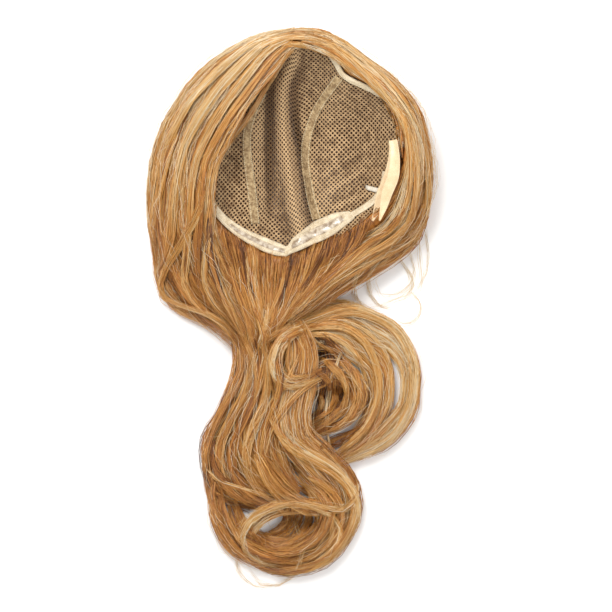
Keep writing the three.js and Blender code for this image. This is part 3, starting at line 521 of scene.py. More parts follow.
def netTree():
    inputs = {"Cell": "Object", "Turn": "Vector", "Wall": "Float", "Finish": "Material"}
    tree, add, given = newTree("repeatNetCell", inputs)
    cell = add("GeometryNodeObjectInfo", {"Object": given["Cell"]})
    turn = add("FunctionNodeEulerToRotation", {"Euler": given["Turn"]})
    copied = {"Points": given["Geometry"], "Instance": cell.outputs["Geometry"], "Rotation": turn}
    placed = add("GeometryNodeInstanceOnPoints", copied)
    real = add("GeometryNodeRealizeInstances", {0: placed})
    sheet = add("GeometryNodeMergeByDistance", {0: real, "Distance": 0.1 * mm})
    down = add("ShaderNodeCombineXYZ", {"Z": -1.0})
    thick = {"Mesh": sheet, "Offset": down, "Offset Scale": given["Wall"], "Individual": False}
    wall = add("GeometryNodeExtrudeMesh", thick)
    under = add("GeometryNodeFlipFaces", {0: wall})
    both = add("GeometryNodeJoinGeometry")
    tree.links.new(sheet.outputs[0], both.inputs[0])
    tree.links.new(under.outputs[0], both.inputs[0])
    closed = add("GeometryNodeMergeByDistance", {0: both, "Distance": 0.01 * mm})
    finish = add("GeometryNodeSetMaterial", {0: closed, "Material": given["Finish"]})
    add("NodeGroupOutput", {0: finish})
    return tree


# Measures crests and creases, for the net's painted light on crests and painted shade in creases.
def foldCrest(x, y, reach=7.0, height=5.0):  # above 0 on a crest, below 0 in a crease
    def overBowl(x, y):
        return netHeight(x, y) - bowlHeight(x, y)

    turns = np.arange(8) / 8 * wholeTurn
    around = [overBowl(x + reach * math.cos(a), y + reach * math.sin(a)) for a in turns]
    return np.clip((overBowl(x, y) - np.mean(around, 0)) / height, -1, 1)


def makeNet():
    cells = np.arange(-net["cells"], net["cells"] + 1)
    i, j = (grid.ravel() for grid in np.meshgrid(cells, cells))
    a, b = (i - j) * net["pitch"] / math.sqrt(2), (i + j) * net["pitch"] / math.sqrt(2)
    share, angle = capShare(*clothToPlan(a, b))
    turn = np.degrees(angle) % 360
    frayed = (turn > net["frayFrom"]) & (turn < net["frayEnd"])
    kept = share < np.where(frayed, net["frayTo"], net["outTo"])
    a, b = a[kept], b[kept]
    host = newPiece("net_cloth", np.stack([a, b, 0 * a], -1), [], finishes["net"])
    cell = netCell()
    skew = (0, 0, math.radians(net["skew"]))
    values = {"Cell": cell, "Turn": skew, "Wall": net["wall"] * mm, "Finish": finishes["net"]}
    mesh = runTree(host, netTree(), values)
    flat = meshPoints(mesh)
    laid = offsetPoints(netHeight, *clothToPlan(flat[:, 0], flat[:, 1]), flat[:, 2])
    moveMesh(mesh, laid)
    # the painted fold light and shade that the net's finish reads
    storeValues(mesh, "crest", "FLOAT", foldCrest(laid[:, 0], laid[:, 1]))
    host.data = mesh
    bpy.data.objects.remove(cell)
    print("net:", len(a), "holes,", len(mesh.polygons), "faces")
    return host


netCloth = makeNet()

# Tapes, bands and straps on the net. gap is from the net to a ribbon, and rippleRun how many of its sections
# a ripple takes.

ribbons = {
    "gap": 0.3, "tapeWidth": 9.0, "tapeThick": 0.8, "casingWidth": 7.0, "casingThick": 1.1, "rippleRun": 2.3,
}


def layRibbon(left, right, low, profile, swell=0.0):
    # A strip on the net between two lines of the plan. profile rows: share across, height over low.
    count = len(left)
    ripple = 1 + swell * np.sin(np.linspace(0, count / ribbons["rippleRun"], count))[:, None]
    shares, heights = np.array(profile, float).T
    across = left[:, None, :] * (1 - shares[None, :, None]) + right[:, None, :] * shares[None, :, None]
    top = offsetPoints(netHeight, across[..., 0], across[..., 1], low + heights[None, :] * ripple)
    under = offsetPoints(netHeight, across[..., 0], across[..., 1], low + 0 * heights[None, :])
    return loftRings(np.concatenate([top, under[:, ::-1]], 1))


def planLine(rows, step, samples=400):  # a smooth line in plan, in steps of a given length
    t = np.linspace(0, len(rows["down"]) - 1, samples)
    line = np.stack([planX(columnAt(rows, "across", t)), planY(columnAt(rows, "down", t))], -1)
    run = np.concatenate([[0], np.cumsum(np.hypot(*np.diff(line, axis=0).T))])
    places = np.linspace(0, run[-1], max(3, int(run[-1] / step) + 1))
    return np.stack([np.interp(places, run, line[:, k]) for k in (0, 1)], -1)


def besideLine(line, aside):
    ahead = unit(np.gradient(line, axis=0))
    return line + np.stack([ahead[:, 1], -ahead[:, 0]], -1) * aside


flatProfile = [(0, 0.35), (0.05, 0.85), (0.2, 1.0), (0.5, 1.05), (0.8, 1.0), (0.95, 0.85), (1, 0.35)]
tapeLines = {
    "seam_tape_left": table(
        "across down",
        (-0.2, 0.22), (-0.25, 0.32), (-0.275, 0.42), (-0.272, 0.53), (-0.258, 0.64), (-0.245, 0.75),
        (-0.235, 0.84),
    ),
    "seam_tape_right": table(
        "across down",
        (0.185, 0.155), (0.115, 0.24), (0.06, 0.33), (0.025, 0.44), (0.018, 0.55), (0.035, 0.66),
        (0.055, 0.75), (0.075, 0.82),
    ),
}
tapeStep, tapeSeam = 2.0, 0.78  # how far apart its sections are, and how far out its stitches
trim = {}
stitchLines = []  # lines in plan, each with its height over the net
for name, rows in tapeLines.items():
    line = planLine(rows, tapeStep)
    half = ribbons["tapeWidth"] / 2
    profile = [(s, h * ribbons["tapeThick"]) for s, h in flatProfile]
    edges = besideLine(line, -half), besideLine(line, half)
    trim[name] = newPiece(name + "_woven", *layRibbon(*edges, ribbons["gap"], profile), finishes["tape"])
    for aside in (-tapeSeam * half, tapeSeam * half):
        stitchLines.append((besideLine(line, aside), ribbons["gap"] + ribbons["tapeThick"] * 1.02))

# The padded band along the nape, with the two strips of silicone in its groove. inner and outer are shares of
# the cap's edge.
napeRows = table(
    "degrees inner outer",
    (209, 0.97, 1.03), (221, 0.95, 1.035), (236, 0.92, 1.035), (248, 0.905, 1.04), (256, 0.925, 1.05),
    (261, 0.955, 1.065), (265, 0.875, 1.045), (277, 0.79, 1.02), (290, 0.785, 1.02), (301, 0.81, 1.0),
    (310, 0.88, 0.985),
)


def bandLines(fromRow, toRow, innerShare, outerShare, count):
    t = np.linspace(fromRow, toRow, count)
    angle = np.radians(columnAt(napeRows, "degrees", t))
    inner, outer = columnAt(napeRows, "inner", t), columnAt(napeRows, "outer", t)
    return [spokePoint(angle, inner + (outer - inner) * share) for share in (outerShare, innerShare)]


bandProfile = [
    (0, 0.4), (0.05, 1.4), (0.14, 2.0), (0.24, 1.5), (0.32, 0.75), (0.66, 0.75), (0.76, 1.5), (0.86, 1.9),
    (0.95, 1.4), (1, 0.4),
]
bandLay = layRibbon(*bandLines(0, 10, 0, 1, 110), ribbons["gap"], bandProfile, swell=0.09)
trim["nape_band"] = newPiece("nape_band_padded", *bandLay, finishes["velour"])
bandSeams = {"shares": (0.13, 0.9), "rows": (0.2, 9.8), "over": 1.9}
for share in bandSeams["shares"]:
    seam = bandLines(*bandSeams["rows"], share, share, 160)[0]
    stitchLines.append((seam, ribbons["gap"] + bandSeams["over"]))

grip = {"from": 0.3, "to": 0.74, "over": 0.8, "swell": 0.3}
gripRows = {"grip_strip_left": (1.2, 4.7), "grip_strip_right": (5.9, 9.2)}
gripProfile = [(0, 0.2), (0.1, 1.0), (0.3, 1.6), (0.55, 1.5), (0.8, 0.9), (1, 0.2)]
for name, fromTo in gripRows.items():
    edges = bandLines(*fromTo, grip["from"], grip["to"], 60)
    gripLay = layRibbon(*edges, ribbons["gap"] + grip["over"], gripProfile, swell=grip["swell"])
    trim[name] = newPiece(name + "_clear", *gripLay, finishes["grip"])

# The casing from the nape up to the ear.
casingRows = table(
    "degrees share",
    (309, 0.935), (314, 0.94), (322, 0.95), (332, 0.95), (340, 0.93), (347, 0.9),
)
t = np.linspace(0, 5, 40)
casingAngle, casingShare = np.radians(columnAt(casingRows, "degrees", t)), columnAt(casingRows, "share", t)
casingHalf = ribbons["casingWidth"] / capSizes["width"]
casingEdges = [spokePoint(casingAngle, casingShare + out) for out in (casingHalf, -casingHalf)]
casingProfile = [(s, h * ribbons["casingThick"]) for s, h in flatProfile]
casingLay = layRibbon(*casingEdges, ribbons["gap"], casingProfile)
trim["strap_casing"] = newPiece("strap_casing_folded", *casingLay, finishes["velour"])

# The binding folded round the net's edge: rows are millimetres out from the edge, and off the net.
bindingSection = [
    (-3.3, 0.3), (-3.3, 0.9), (-2.8, 1.35), (-2.0, 1.4), (-0.6, 1.35), (0.8, 0.9), (1.5, -0.4), (0.8, -1.7),
    (-0.6, -2.2), (-3.0, -2.1), (-3.3, -1.2), (-0.4, -1.2), (0.35, -0.8), (0.35, 0.1), (-0.4, 0.3),
]
binding = {"from": -3, "to": 204, "seamIn": 2.5, "seamOver": 1.5}
angles = np.radians(np.linspace(binding["from"], binding["to"], 150))
wobble = 1 + 0.1 * np.sin(angles * 23) + 0.07 * np.sin(angles * 41 + 1)
rings = []
for out, off in bindingSection:
    place = spokePoint(angles, 1 + 2 * out * np.where(out < -1, wobble, 1) / capSizes["width"])
    rings.append(offsetPoints(netHeight, place[:, 0], place[:, 1], off))
trim["edge_binding"] = newPiece("edge_binding_folded", *loftRings(np.stack(rings, 1)), finishes["binding"])
bindingSeam = spokePoint(angles, 1 - 2 * binding["seamIn"] / capSizes["width"])
stitchLines.append((bindingSeam, binding["seamOver"]))

# The satin strap in free air, doubled, and the tab that it hooks to. lift is a share of the cap's rest
# height, roll is degrees, and grow widens the ribbon.
strap = {"width": 11.0, "thick": 0.9, "curl": 1.6}
strapRows = table(
    "across down lift roll grow",
    (0.455, 0.45, 0.1, 20, 0.75), (0.465, 0.53, 0.12, 24, 0.95), (0.456, 0.62, 0.11, 22, 1.15),
    (0.425, 0.7, 0.07, 14, 1.0), (0.405, 0.77, -0.02, 6, 0.62), (0.385, 0.83, -0.05, 0, 0.16),
)


def freeStrap(wider, thinner, shift, aside):  # aside is how far its end lies to the side
    last = len(strapRows["down"]) - 1
    t = np.linspace(0, last, 60)

    def at(t):
        x = planX(columnAt(strapRows, "across", t)) + aside * t / last
        y = planY(columnAt(strapRows, "down", t))
        z = netHeight(x, y) + columnAt(strapRows, "lift", t) * capSizes["rest"]
        return np.stack([x, y, z], -1)

    side, up = rolledSides(at, t, last, 0.1, columnAt(strapRows, "roll", t))
    half = strap["width"] * wider / 2 * columnAt(strapRows, "grow", t)[:, None]
    rings = []
    for s, u in [(s, 1) for s in np.linspace(-1, 1, 9)] + [(s, -1) for s in np.linspace(1, -1, 9)]:
        off = u * strap["thick"] * thinner / 2 * (1 - 0.6 * abs(s) ** 6) + strap["curl"] * s * s + shift
        rings.append(at(t) + side * half * s + up * off)
    return loftRings(np.stack(rings, 1))


strapLayers = [freeStrap(1, 1, 0.8, 0.0), freeStrap(1.15, 0.7, -0.7, -7.0)]
trim["adjuster_strap"] = newPiece("adjuster_strap_satin", *joinMeshes(strapLayers), finishes["satin"])
tab = {"across": 0.325, "down": 0.672, "downEnd": 0.69, "length": 14.0, "width": 5.0, "off": 1.9}
tabX = planX(tab["across"]) + np.linspace(0, tab["length"], 5)
tabY = planY(np.linspace(tab["down"], tab["downEnd"], 5))
tabEdges = [np.stack([tabX, tabY + up], -1) for up in (tab["width"] / 2, -tab["width"] / 2)]
tabProfile = [(0, 0.3), (0.12, 1.1), (0.5, 1.2), (0.88, 1.1), (1, 0.3)]
tabLay = layRibbon(*tabEdges, tab["off"], tabProfile)
trim["hook_tab"] = newPiece("hook_tab_white", *tabLay, finishes["tab"])
stitch = {"Pitch": 2.2 * mm, "Stitch length": 1.5 * mm, "Thread": 0.22 * mm}


def stitchTree():
    inputs = {"Pitch": "Float", "Stitch length": "Float", "Thread": "Float", "Finish": "Material"}
    tree, add, given = newTree("runOfStitches", inputs)
    line = add("GeometryNodeMeshToCurve", {0: given["Geometry"]})
    spots = add("GeometryNodeCurveToPoints", {"Curve": line, "Length": given["Pitch"]}, mode="LENGTH")
    sizes = {"Vertices": 6, "Side Segments": 1, "Radius": given["Thread"], "Depth": given["Stitch length"]}
    thread = add("GeometryNodeMeshCylinder", sizes, fill_type="NGON")
    copied = {"Points": spots, "Instance": thread, "Rotation": spots.outputs["Rotation"]}
    placed = add("GeometryNodeInstanceOnPoints", copied)
    real = add("GeometryNodeRealizeInstances", {0: placed})
    soft = add("GeometryNodeSetShadeSmooth", {0: real})
    finish = add("GeometryNodeSetMaterial", {0: soft, "Material": given["Finish"]})
    add("NodeGroupOutput", {0: finish})
    return tree


def sewStitches():
    points, edges, start = [], [], 0
    for line, off in stitchLines:
        points.append(offsetPoints(netHeight, line[:, 0], line[:, 1], off))
        edges += [(start + i, start + i + 1) for i in range(len(line) - 1)]
        start += len(line)
    host = lineHost("stitches", points, edges)
    host.data = runTree(host, stitchTree(), {**stitch, "Finish": finishes["thread"]})
    return host


stitches = sewStitches()
print("tapes, bands, strap and stitches laid")

# Hair: its finish, the masses that the CAD model has, and thinner locks laid on them.
# tones run from the brown of a deep lock to the straw of an outer one; the darker tones also serve as painted
# shade, the paler as painted light. Fibre sizes are millimetres. A real fibre is 0.07 mm thick, too fine to
# show, so fine lines and strands are drawn several times as coarse.
hairLook = {
    "tones": [
        (0.0, "#4E2B10"), (0.18, "#8C531F"), (0.38, "#BE7D38"), (0.56, "#D1994C"), (0.76, "#DDBA82"),
        (1.0, "#E9DABC"),
    ],
    "rough": 0.4, "refraction": 1.55, "relief": 0.6, "fibreHigh": 0.4,
}
# Fine fibres and wider streaks: their size across and along a lock, and how much they change the tone.
hairLines = [(0.55, 28.0, 0.5), (3.2, 70.0, 0.55)]


def fibreFinish():  # modacrylic fibre drawn hot: it shines along the lock, with fine light and dark lines
    made, add, shader = newFinish("modacrylic_hair_fibre")
    fibre = add("ShaderNodeAttribute", attribute_name="fibre").outputs["Vector"]
    tone = add("ShaderNodeAttribute", attribute_name="tint").outputs["Fac"]
    noises = []
    for across, along, much in hairLines:
        placed = add("ShaderNodeMapping", {"Vector": fibre, "Scale": (1 / across, 1 / along, 1.0)})
        noises.append(add("ShaderNodeTexNoise", {"Vector": placed, "Scale": 1.0, "Detail": 2.0}))
        centred = add("ShaderNodeMath", {0: noises[-1], 1: 0.5}, operation="SUBTRACT")
        tone = add("ShaderNodeMath", {0: centred, 1: much, 2: tone}, operation="MULTIPLY_ADD")
    tones = add("ShaderNodeValToRGB", {0: tone})
    setStops(tones, hairLook["tones"])
    high = {"Strength": hairLook["relief"], "Distance": hairLook["fibreHigh"] * mm, "Height": noises[0]}
    joinShader(made, shader, tones, add("ShaderNodeBump", high))
    shader.inputs["Roughness"].default_value = hairLook["rough"]
    shader.inputs["IOR"].default_value = hairLook["refraction"]
    return made


hairFinish = fibreFinish()
hairSizes = {"unit": 200.0, "tail": 320.0, "thick": 14.0, "skirt": 32.0, "lip": 4.0, "strand": 0.27}


def sheaf(locks, shade, perWidth, *rows):
    # across and down place a lock in plan: down runs 0 to 1 along the cap, 1 to 2 along the tail. rise is a
    # share of the cap's rest height, wide and thick of the hair's own sizes. roll is degrees. perWidth is
    # how many strands there are for each millimetre of width.
    rows = table("across down rise wide thick roll", *rows)
    return {"locks": locks, "shade": shade, "perWidth": perWidth, "rows": rows}


hairMasses = {
    "front_hair_left": [
        # over the cap's edge
        sheaf(1, 0.47, 5, (-.03, -.01, 1.07, .05, .45, 0), (-.15, .05, 1.12, .15, .6, 14),
            (-.295, .165, 1.06, .23, .65, 22), (-.415, .325, 1, .26, .65, 26),
            (-.5, .52, .93, .24, .65, 27), (-.53, .72, .83, .2, .65, 24), (-.51, .9, .66, .17, .7, 16),
            (-.44, 1.04, .52, .15, .8, 8), (-.35, 1.14, .44, .13, .8, 0), (-.27, 1.24, .38, .09, .5, 0)),
        sheaf(2, 0.38, 4.5, (-.04, -.025, 1.02, .05, .6, 5), (-.2, .04, 1, .13, .8, 20),
            (-.38, .16, .9, .18, .9, 34), (-.52, .33, .78, .21, .95, 42), (-.6, .55, .67, .22, 1, 42),
            (-.63, .76, .56, .21, 1, 38), (-.62, .94, .44, .2, 1, 28), (-.55, 1.08, .35, .18, 1, 16),
            (-.44, 1.165, .28, .15, .95, 5), (-.33, 1.24, .24, .11, .7, 0)),
        # the outline on the left
        sheaf(2, 0.5, 4.5, (-.02, -.05, .9, .06, .8, 55), (-.2, -.015, .8, .12, .9, 60),
            (-.37, .08, .64, .16, 1, 58), (-.53, .23, .48, .18, 1.1, 54), (-.645, .42, .36, .19, 1.2, 48),
            (-.69, .62, .28, .18, 1.2, 42), (-.7, .78, .22, .17, 1.2, 36), (-.675, .93, .18, .15, 1.2, 28),
            (-.665, 1.05, .15, .14, 1.1, 18), (-.625, 1.13, .13, .12, 1.1, 8),
            (-.51, 1.175, .12, .1, 1.1, 0), (-.4, 1.205, .11, .1, 1, 0), (-.31, 1.28, .1, .07, .8, 0)),
    ],
    "front_hair_right": [
        # along the cap's edge
        sheaf(1, 0.6, 7, (0, -.02, 1.08, .05, .5, 0), (.13, .015, 1.1, .07, .6, -15),
            (.27, .11, 1.04, .08, .7, -30), (.41, .21, 1, .08, .7, -35), (.515, .35, .96, .09, .8, -38),
            (.55, .52, .88, .11, .9, -36), (.54, .69, .76, .12, 1, -28), (.49, .82, .64, .12, 1, -18),
            (.4, .92, .56, .12, .9, -8), (.23, 1.02, .52, .11, .8, 0), (.06, 1.12, .5, .1, .7, 0),
            (-.08, 1.2, .5, .06, .4, 0)),
        sheaf(1, 0.48, 5, (.01, -.035, 1, .05, .6, -30), (.15, 0, .97, .09, .8, -45),
            (.29, .1, .88, .12, .9, -48), (.44, .2, .8, .14, .95, -48), (.545, .35, .74, .16, 1, -46),
            (.58, .53, .66, .16, 1, -42), (.575, .7, .56, .16, 1, -34), (.53, .83, .47, .15, 1, -22),
            (.44, .92, .42, .13, .9, -10), (.3, 1.02, .42, .11, .8, 0), (.14, 1.1, .42, .09, .7, 0),
            (0, 1.17, .42, .05, .4, 0)),
        # the outline on the right
        sheaf(2, 0.5, 4, (.02, -.045, .9, .06, .8, -55), (.16, -.01, .8, .1, .9, -60),
            (.31, .105, .68, .15, 1, -58), (.44, .21, .54, .18, 1.1, -56), (.53, .36, .43, .2, 1.2, -54),
            (.56, .54, .34, .2, 1.2, -48), (.565, .7, .28, .18, 1.2, -40), (.55, .83, .25, .15, 1.1, -26),
            (.49, .93, .28, .14, 1, -12), (.36, 1.015, .3, .12, .9, -5), (.2, 1.08, .33, .11, .8, 0),
            (.05, 1.16, .34, .08, .6, 0)),
    ],
    "nape_hair": [
        sheaf(2, 0.36, 4, (-.34, .9, .36, .2, .5, 0), (-.32, 1, .37, .2, .6, 0),
            (-.28, 1.1, .38, .17, .75, 0), (-.235, 1.19, .36, .13, .85, 0), (-.21, 1.27, .32, .11, .8, 0)),
        sheaf(2, 0.36, 4, (-.1, .985, .36, .3, .45, 0), (-.11, 1.05, .38, .27, .6, 0),
            (-.13, 1.13, .4, .2, .8, 0), (-.15, 1.2, .4, .15, .85, 0), (-.16, 1.27, .36, .12, .8, 0)),
        sheaf(2, 0.36, 4, (.3, .85, .34, .14, .4, 0), (.2, .95, .36, .22, .55, 0),
            (.1, 1.03, .38, .22, .65, 0), (0, 1.11, .4, .17, .75, 0), (-.09, 1.18, .4, .12, .8, 0)),
    ],
    "left_wave": [
        # down the left of the tail
        sheaf(2, 0.33, 5, (-.29, 1.22, .13, .12, .9, 0), (-.265, 1.3, .15, .14, 1.2, 0),
            (-.28, 1.4, .15, .16, 1.3, 0), (-.335, 1.5, .15, .18, 1.3, 0), (-.395, 1.59, .15, .2, 1.3, 0),
            (-.375, 1.67, .15, .2, 1.2, 0), (-.27, 1.73, .17, .14, 1, 0), (-.15, 1.765, .2, .08, .5, 0)),
        # the middle of the tail
        sheaf(2, 0.4, 5, (-.17, 1.235, .17, .14, .9, 0), (-.15, 1.32, .22, .17, 1.3, 0),
            (-.16, 1.42, .24, .18, 1.3, 0), (-.2, 1.52, .26, .22, 1.3, 0), (-.2, 1.61, .26, .23, 1.2, 0),
            (-.13, 1.69, .26, .16, 1.1, 0), (-.02, 1.745, .26, .09, .5, 0)),
    ],
    "right_wave": [
        # the outer loop
        sheaf(2, 0.62, 5, (-.12, 1.2, .24, .08, .6, 0), (.04, 1.175, .2, .13, .9, 0),
            (.2, 1.185, .15, .15, .9, 0), (.34, 1.215, .1, .14, .85, 0), (.46, 1.27, .08, .12, .8, 0),
            (.53, 1.34, .07, .1, .8, 0), (.545, 1.42, .07, .09, .8, 0), (.51, 1.495, .08, .1, .8, 0),
            (.42, 1.56, .09, .1, .8, 0), (.31, 1.605, .1, .08, .7, 0), (.2, 1.64, .1, .04, .4, 0)),
        # the loop inside it
        sheaf(2, 0.52, 4.5, (-.06, 1.25, .24, .1, .5, 0), (.14, 1.24, .21, .16, .9, 0),
            (.28, 1.275, .15, .16, .9, 0), (.375, 1.34, .1, .13, .8, 0), (.4, 1.42, .08, .11, .8, 0),
            (.37, 1.5, .09, .1, .8, 0), (.29, 1.575, .11, .09, .8, 0), (.19, 1.63, .12, .04, .4, 0)),
    ],
    "inner_curl": [
        sheaf(2, 0.36, 5.5, (-.06, 1.45, .34, .06, .3, 0), (.03, 1.39, .33, .1, .6, 0),
            (.15, 1.36, .28, .12, .7, 0), (.25, 1.385, .2, .11, .8, 0), (.275, 1.445, .14, .1, .8, 0),
            (.21, 1.495, .13, .1, .8, 0), (.1, 1.525, .14, .1, .8, 0), (0, 1.56, .16, .05, .4, 0)),
    ],
    "end_curl": [
        # down the middle, then round the right and the bottom
        sheaf(2, 0.46, 5.5, (-.05, 1.2, .44, .1, .4, 0), (-.01, 1.29, .42, .15, .7, 0),
            (-.02, 1.39, .42, .17, .8, 0), (-.05, 1.48, .44, .16, .8, 0), (-.03, 1.565, .44, .16, .8, 0),
            (.07, 1.635, .34, .17, 1, 0), (.18, 1.71, .2, .17, 1.1, 0), (.205, 1.79, .14, .16, 1.2, 0),
            (.15, 1.87, .14, .16, 1.2, 0), (.04, 1.93, .14, .15, 1.2, 0), (-.1, 1.95, .14, .14, 1.1, 0),
            (-.21, 1.93, .14, .1, .6, 0)),
        # down the left to the bottom
        sheaf(1, 0.36, 6, (-.43, 1.7, .14, .05, .6, 0), (-.425, 1.785, .13, .08, 1, 0),
            (-.385, 1.86, .14, .1, 1.1, 0), (-.305, 1.915, .14, .11, 1.1, 0),
            (-.17, 1.95, .14, .11, 1, 0)),
        # the arch over the curl
        sheaf(1, 0.6, 7, (.21, 1.77, .3, .04, .4, 0), (.1, 1.79, .36, .08, .6, 0),
            (-.02, 1.78, .38, .08, .6, 0), (-.15, 1.79, .36, .08, .6, 0), (-.25, 1.835, .32, .08, .6, 0),
            (-.28, 1.89, .26, .08, .6, 0), (-.22, 1.935, .24, .08, .6, 0), (-.1, 1.955, .24, .04, .4, 0)),
    ],
    "loop_lock": [
        sheaf(1, 0.44, 8, (0, 1.225, .5, .03, .2, 0), (-.09, 1.265, .54, .06, .45, 0),
            (-.13, 1.32, .55, .065, .45, 0), (-.1, 1.375, .53, .06, .45, 0), (0, 1.385, .5, .05, .45, 0),
            (.1, 1.35, .45, .03, .2, 0)),
    ],
}

# Thin locks that lie on the masses, as they fell. right and down are millimetres from the left and top of the
# frame that the wig was laid out in, wide is the lock's width.
frameLeft, frameTop = -288.6, 302.0


def laid(shade, tip, thick, perWidth, *rows):
    rows = table("right down wide", *rows)
    return {"shade": (shade, tip), "thick": thick, "perWidth": perWidth, "rows": rows}


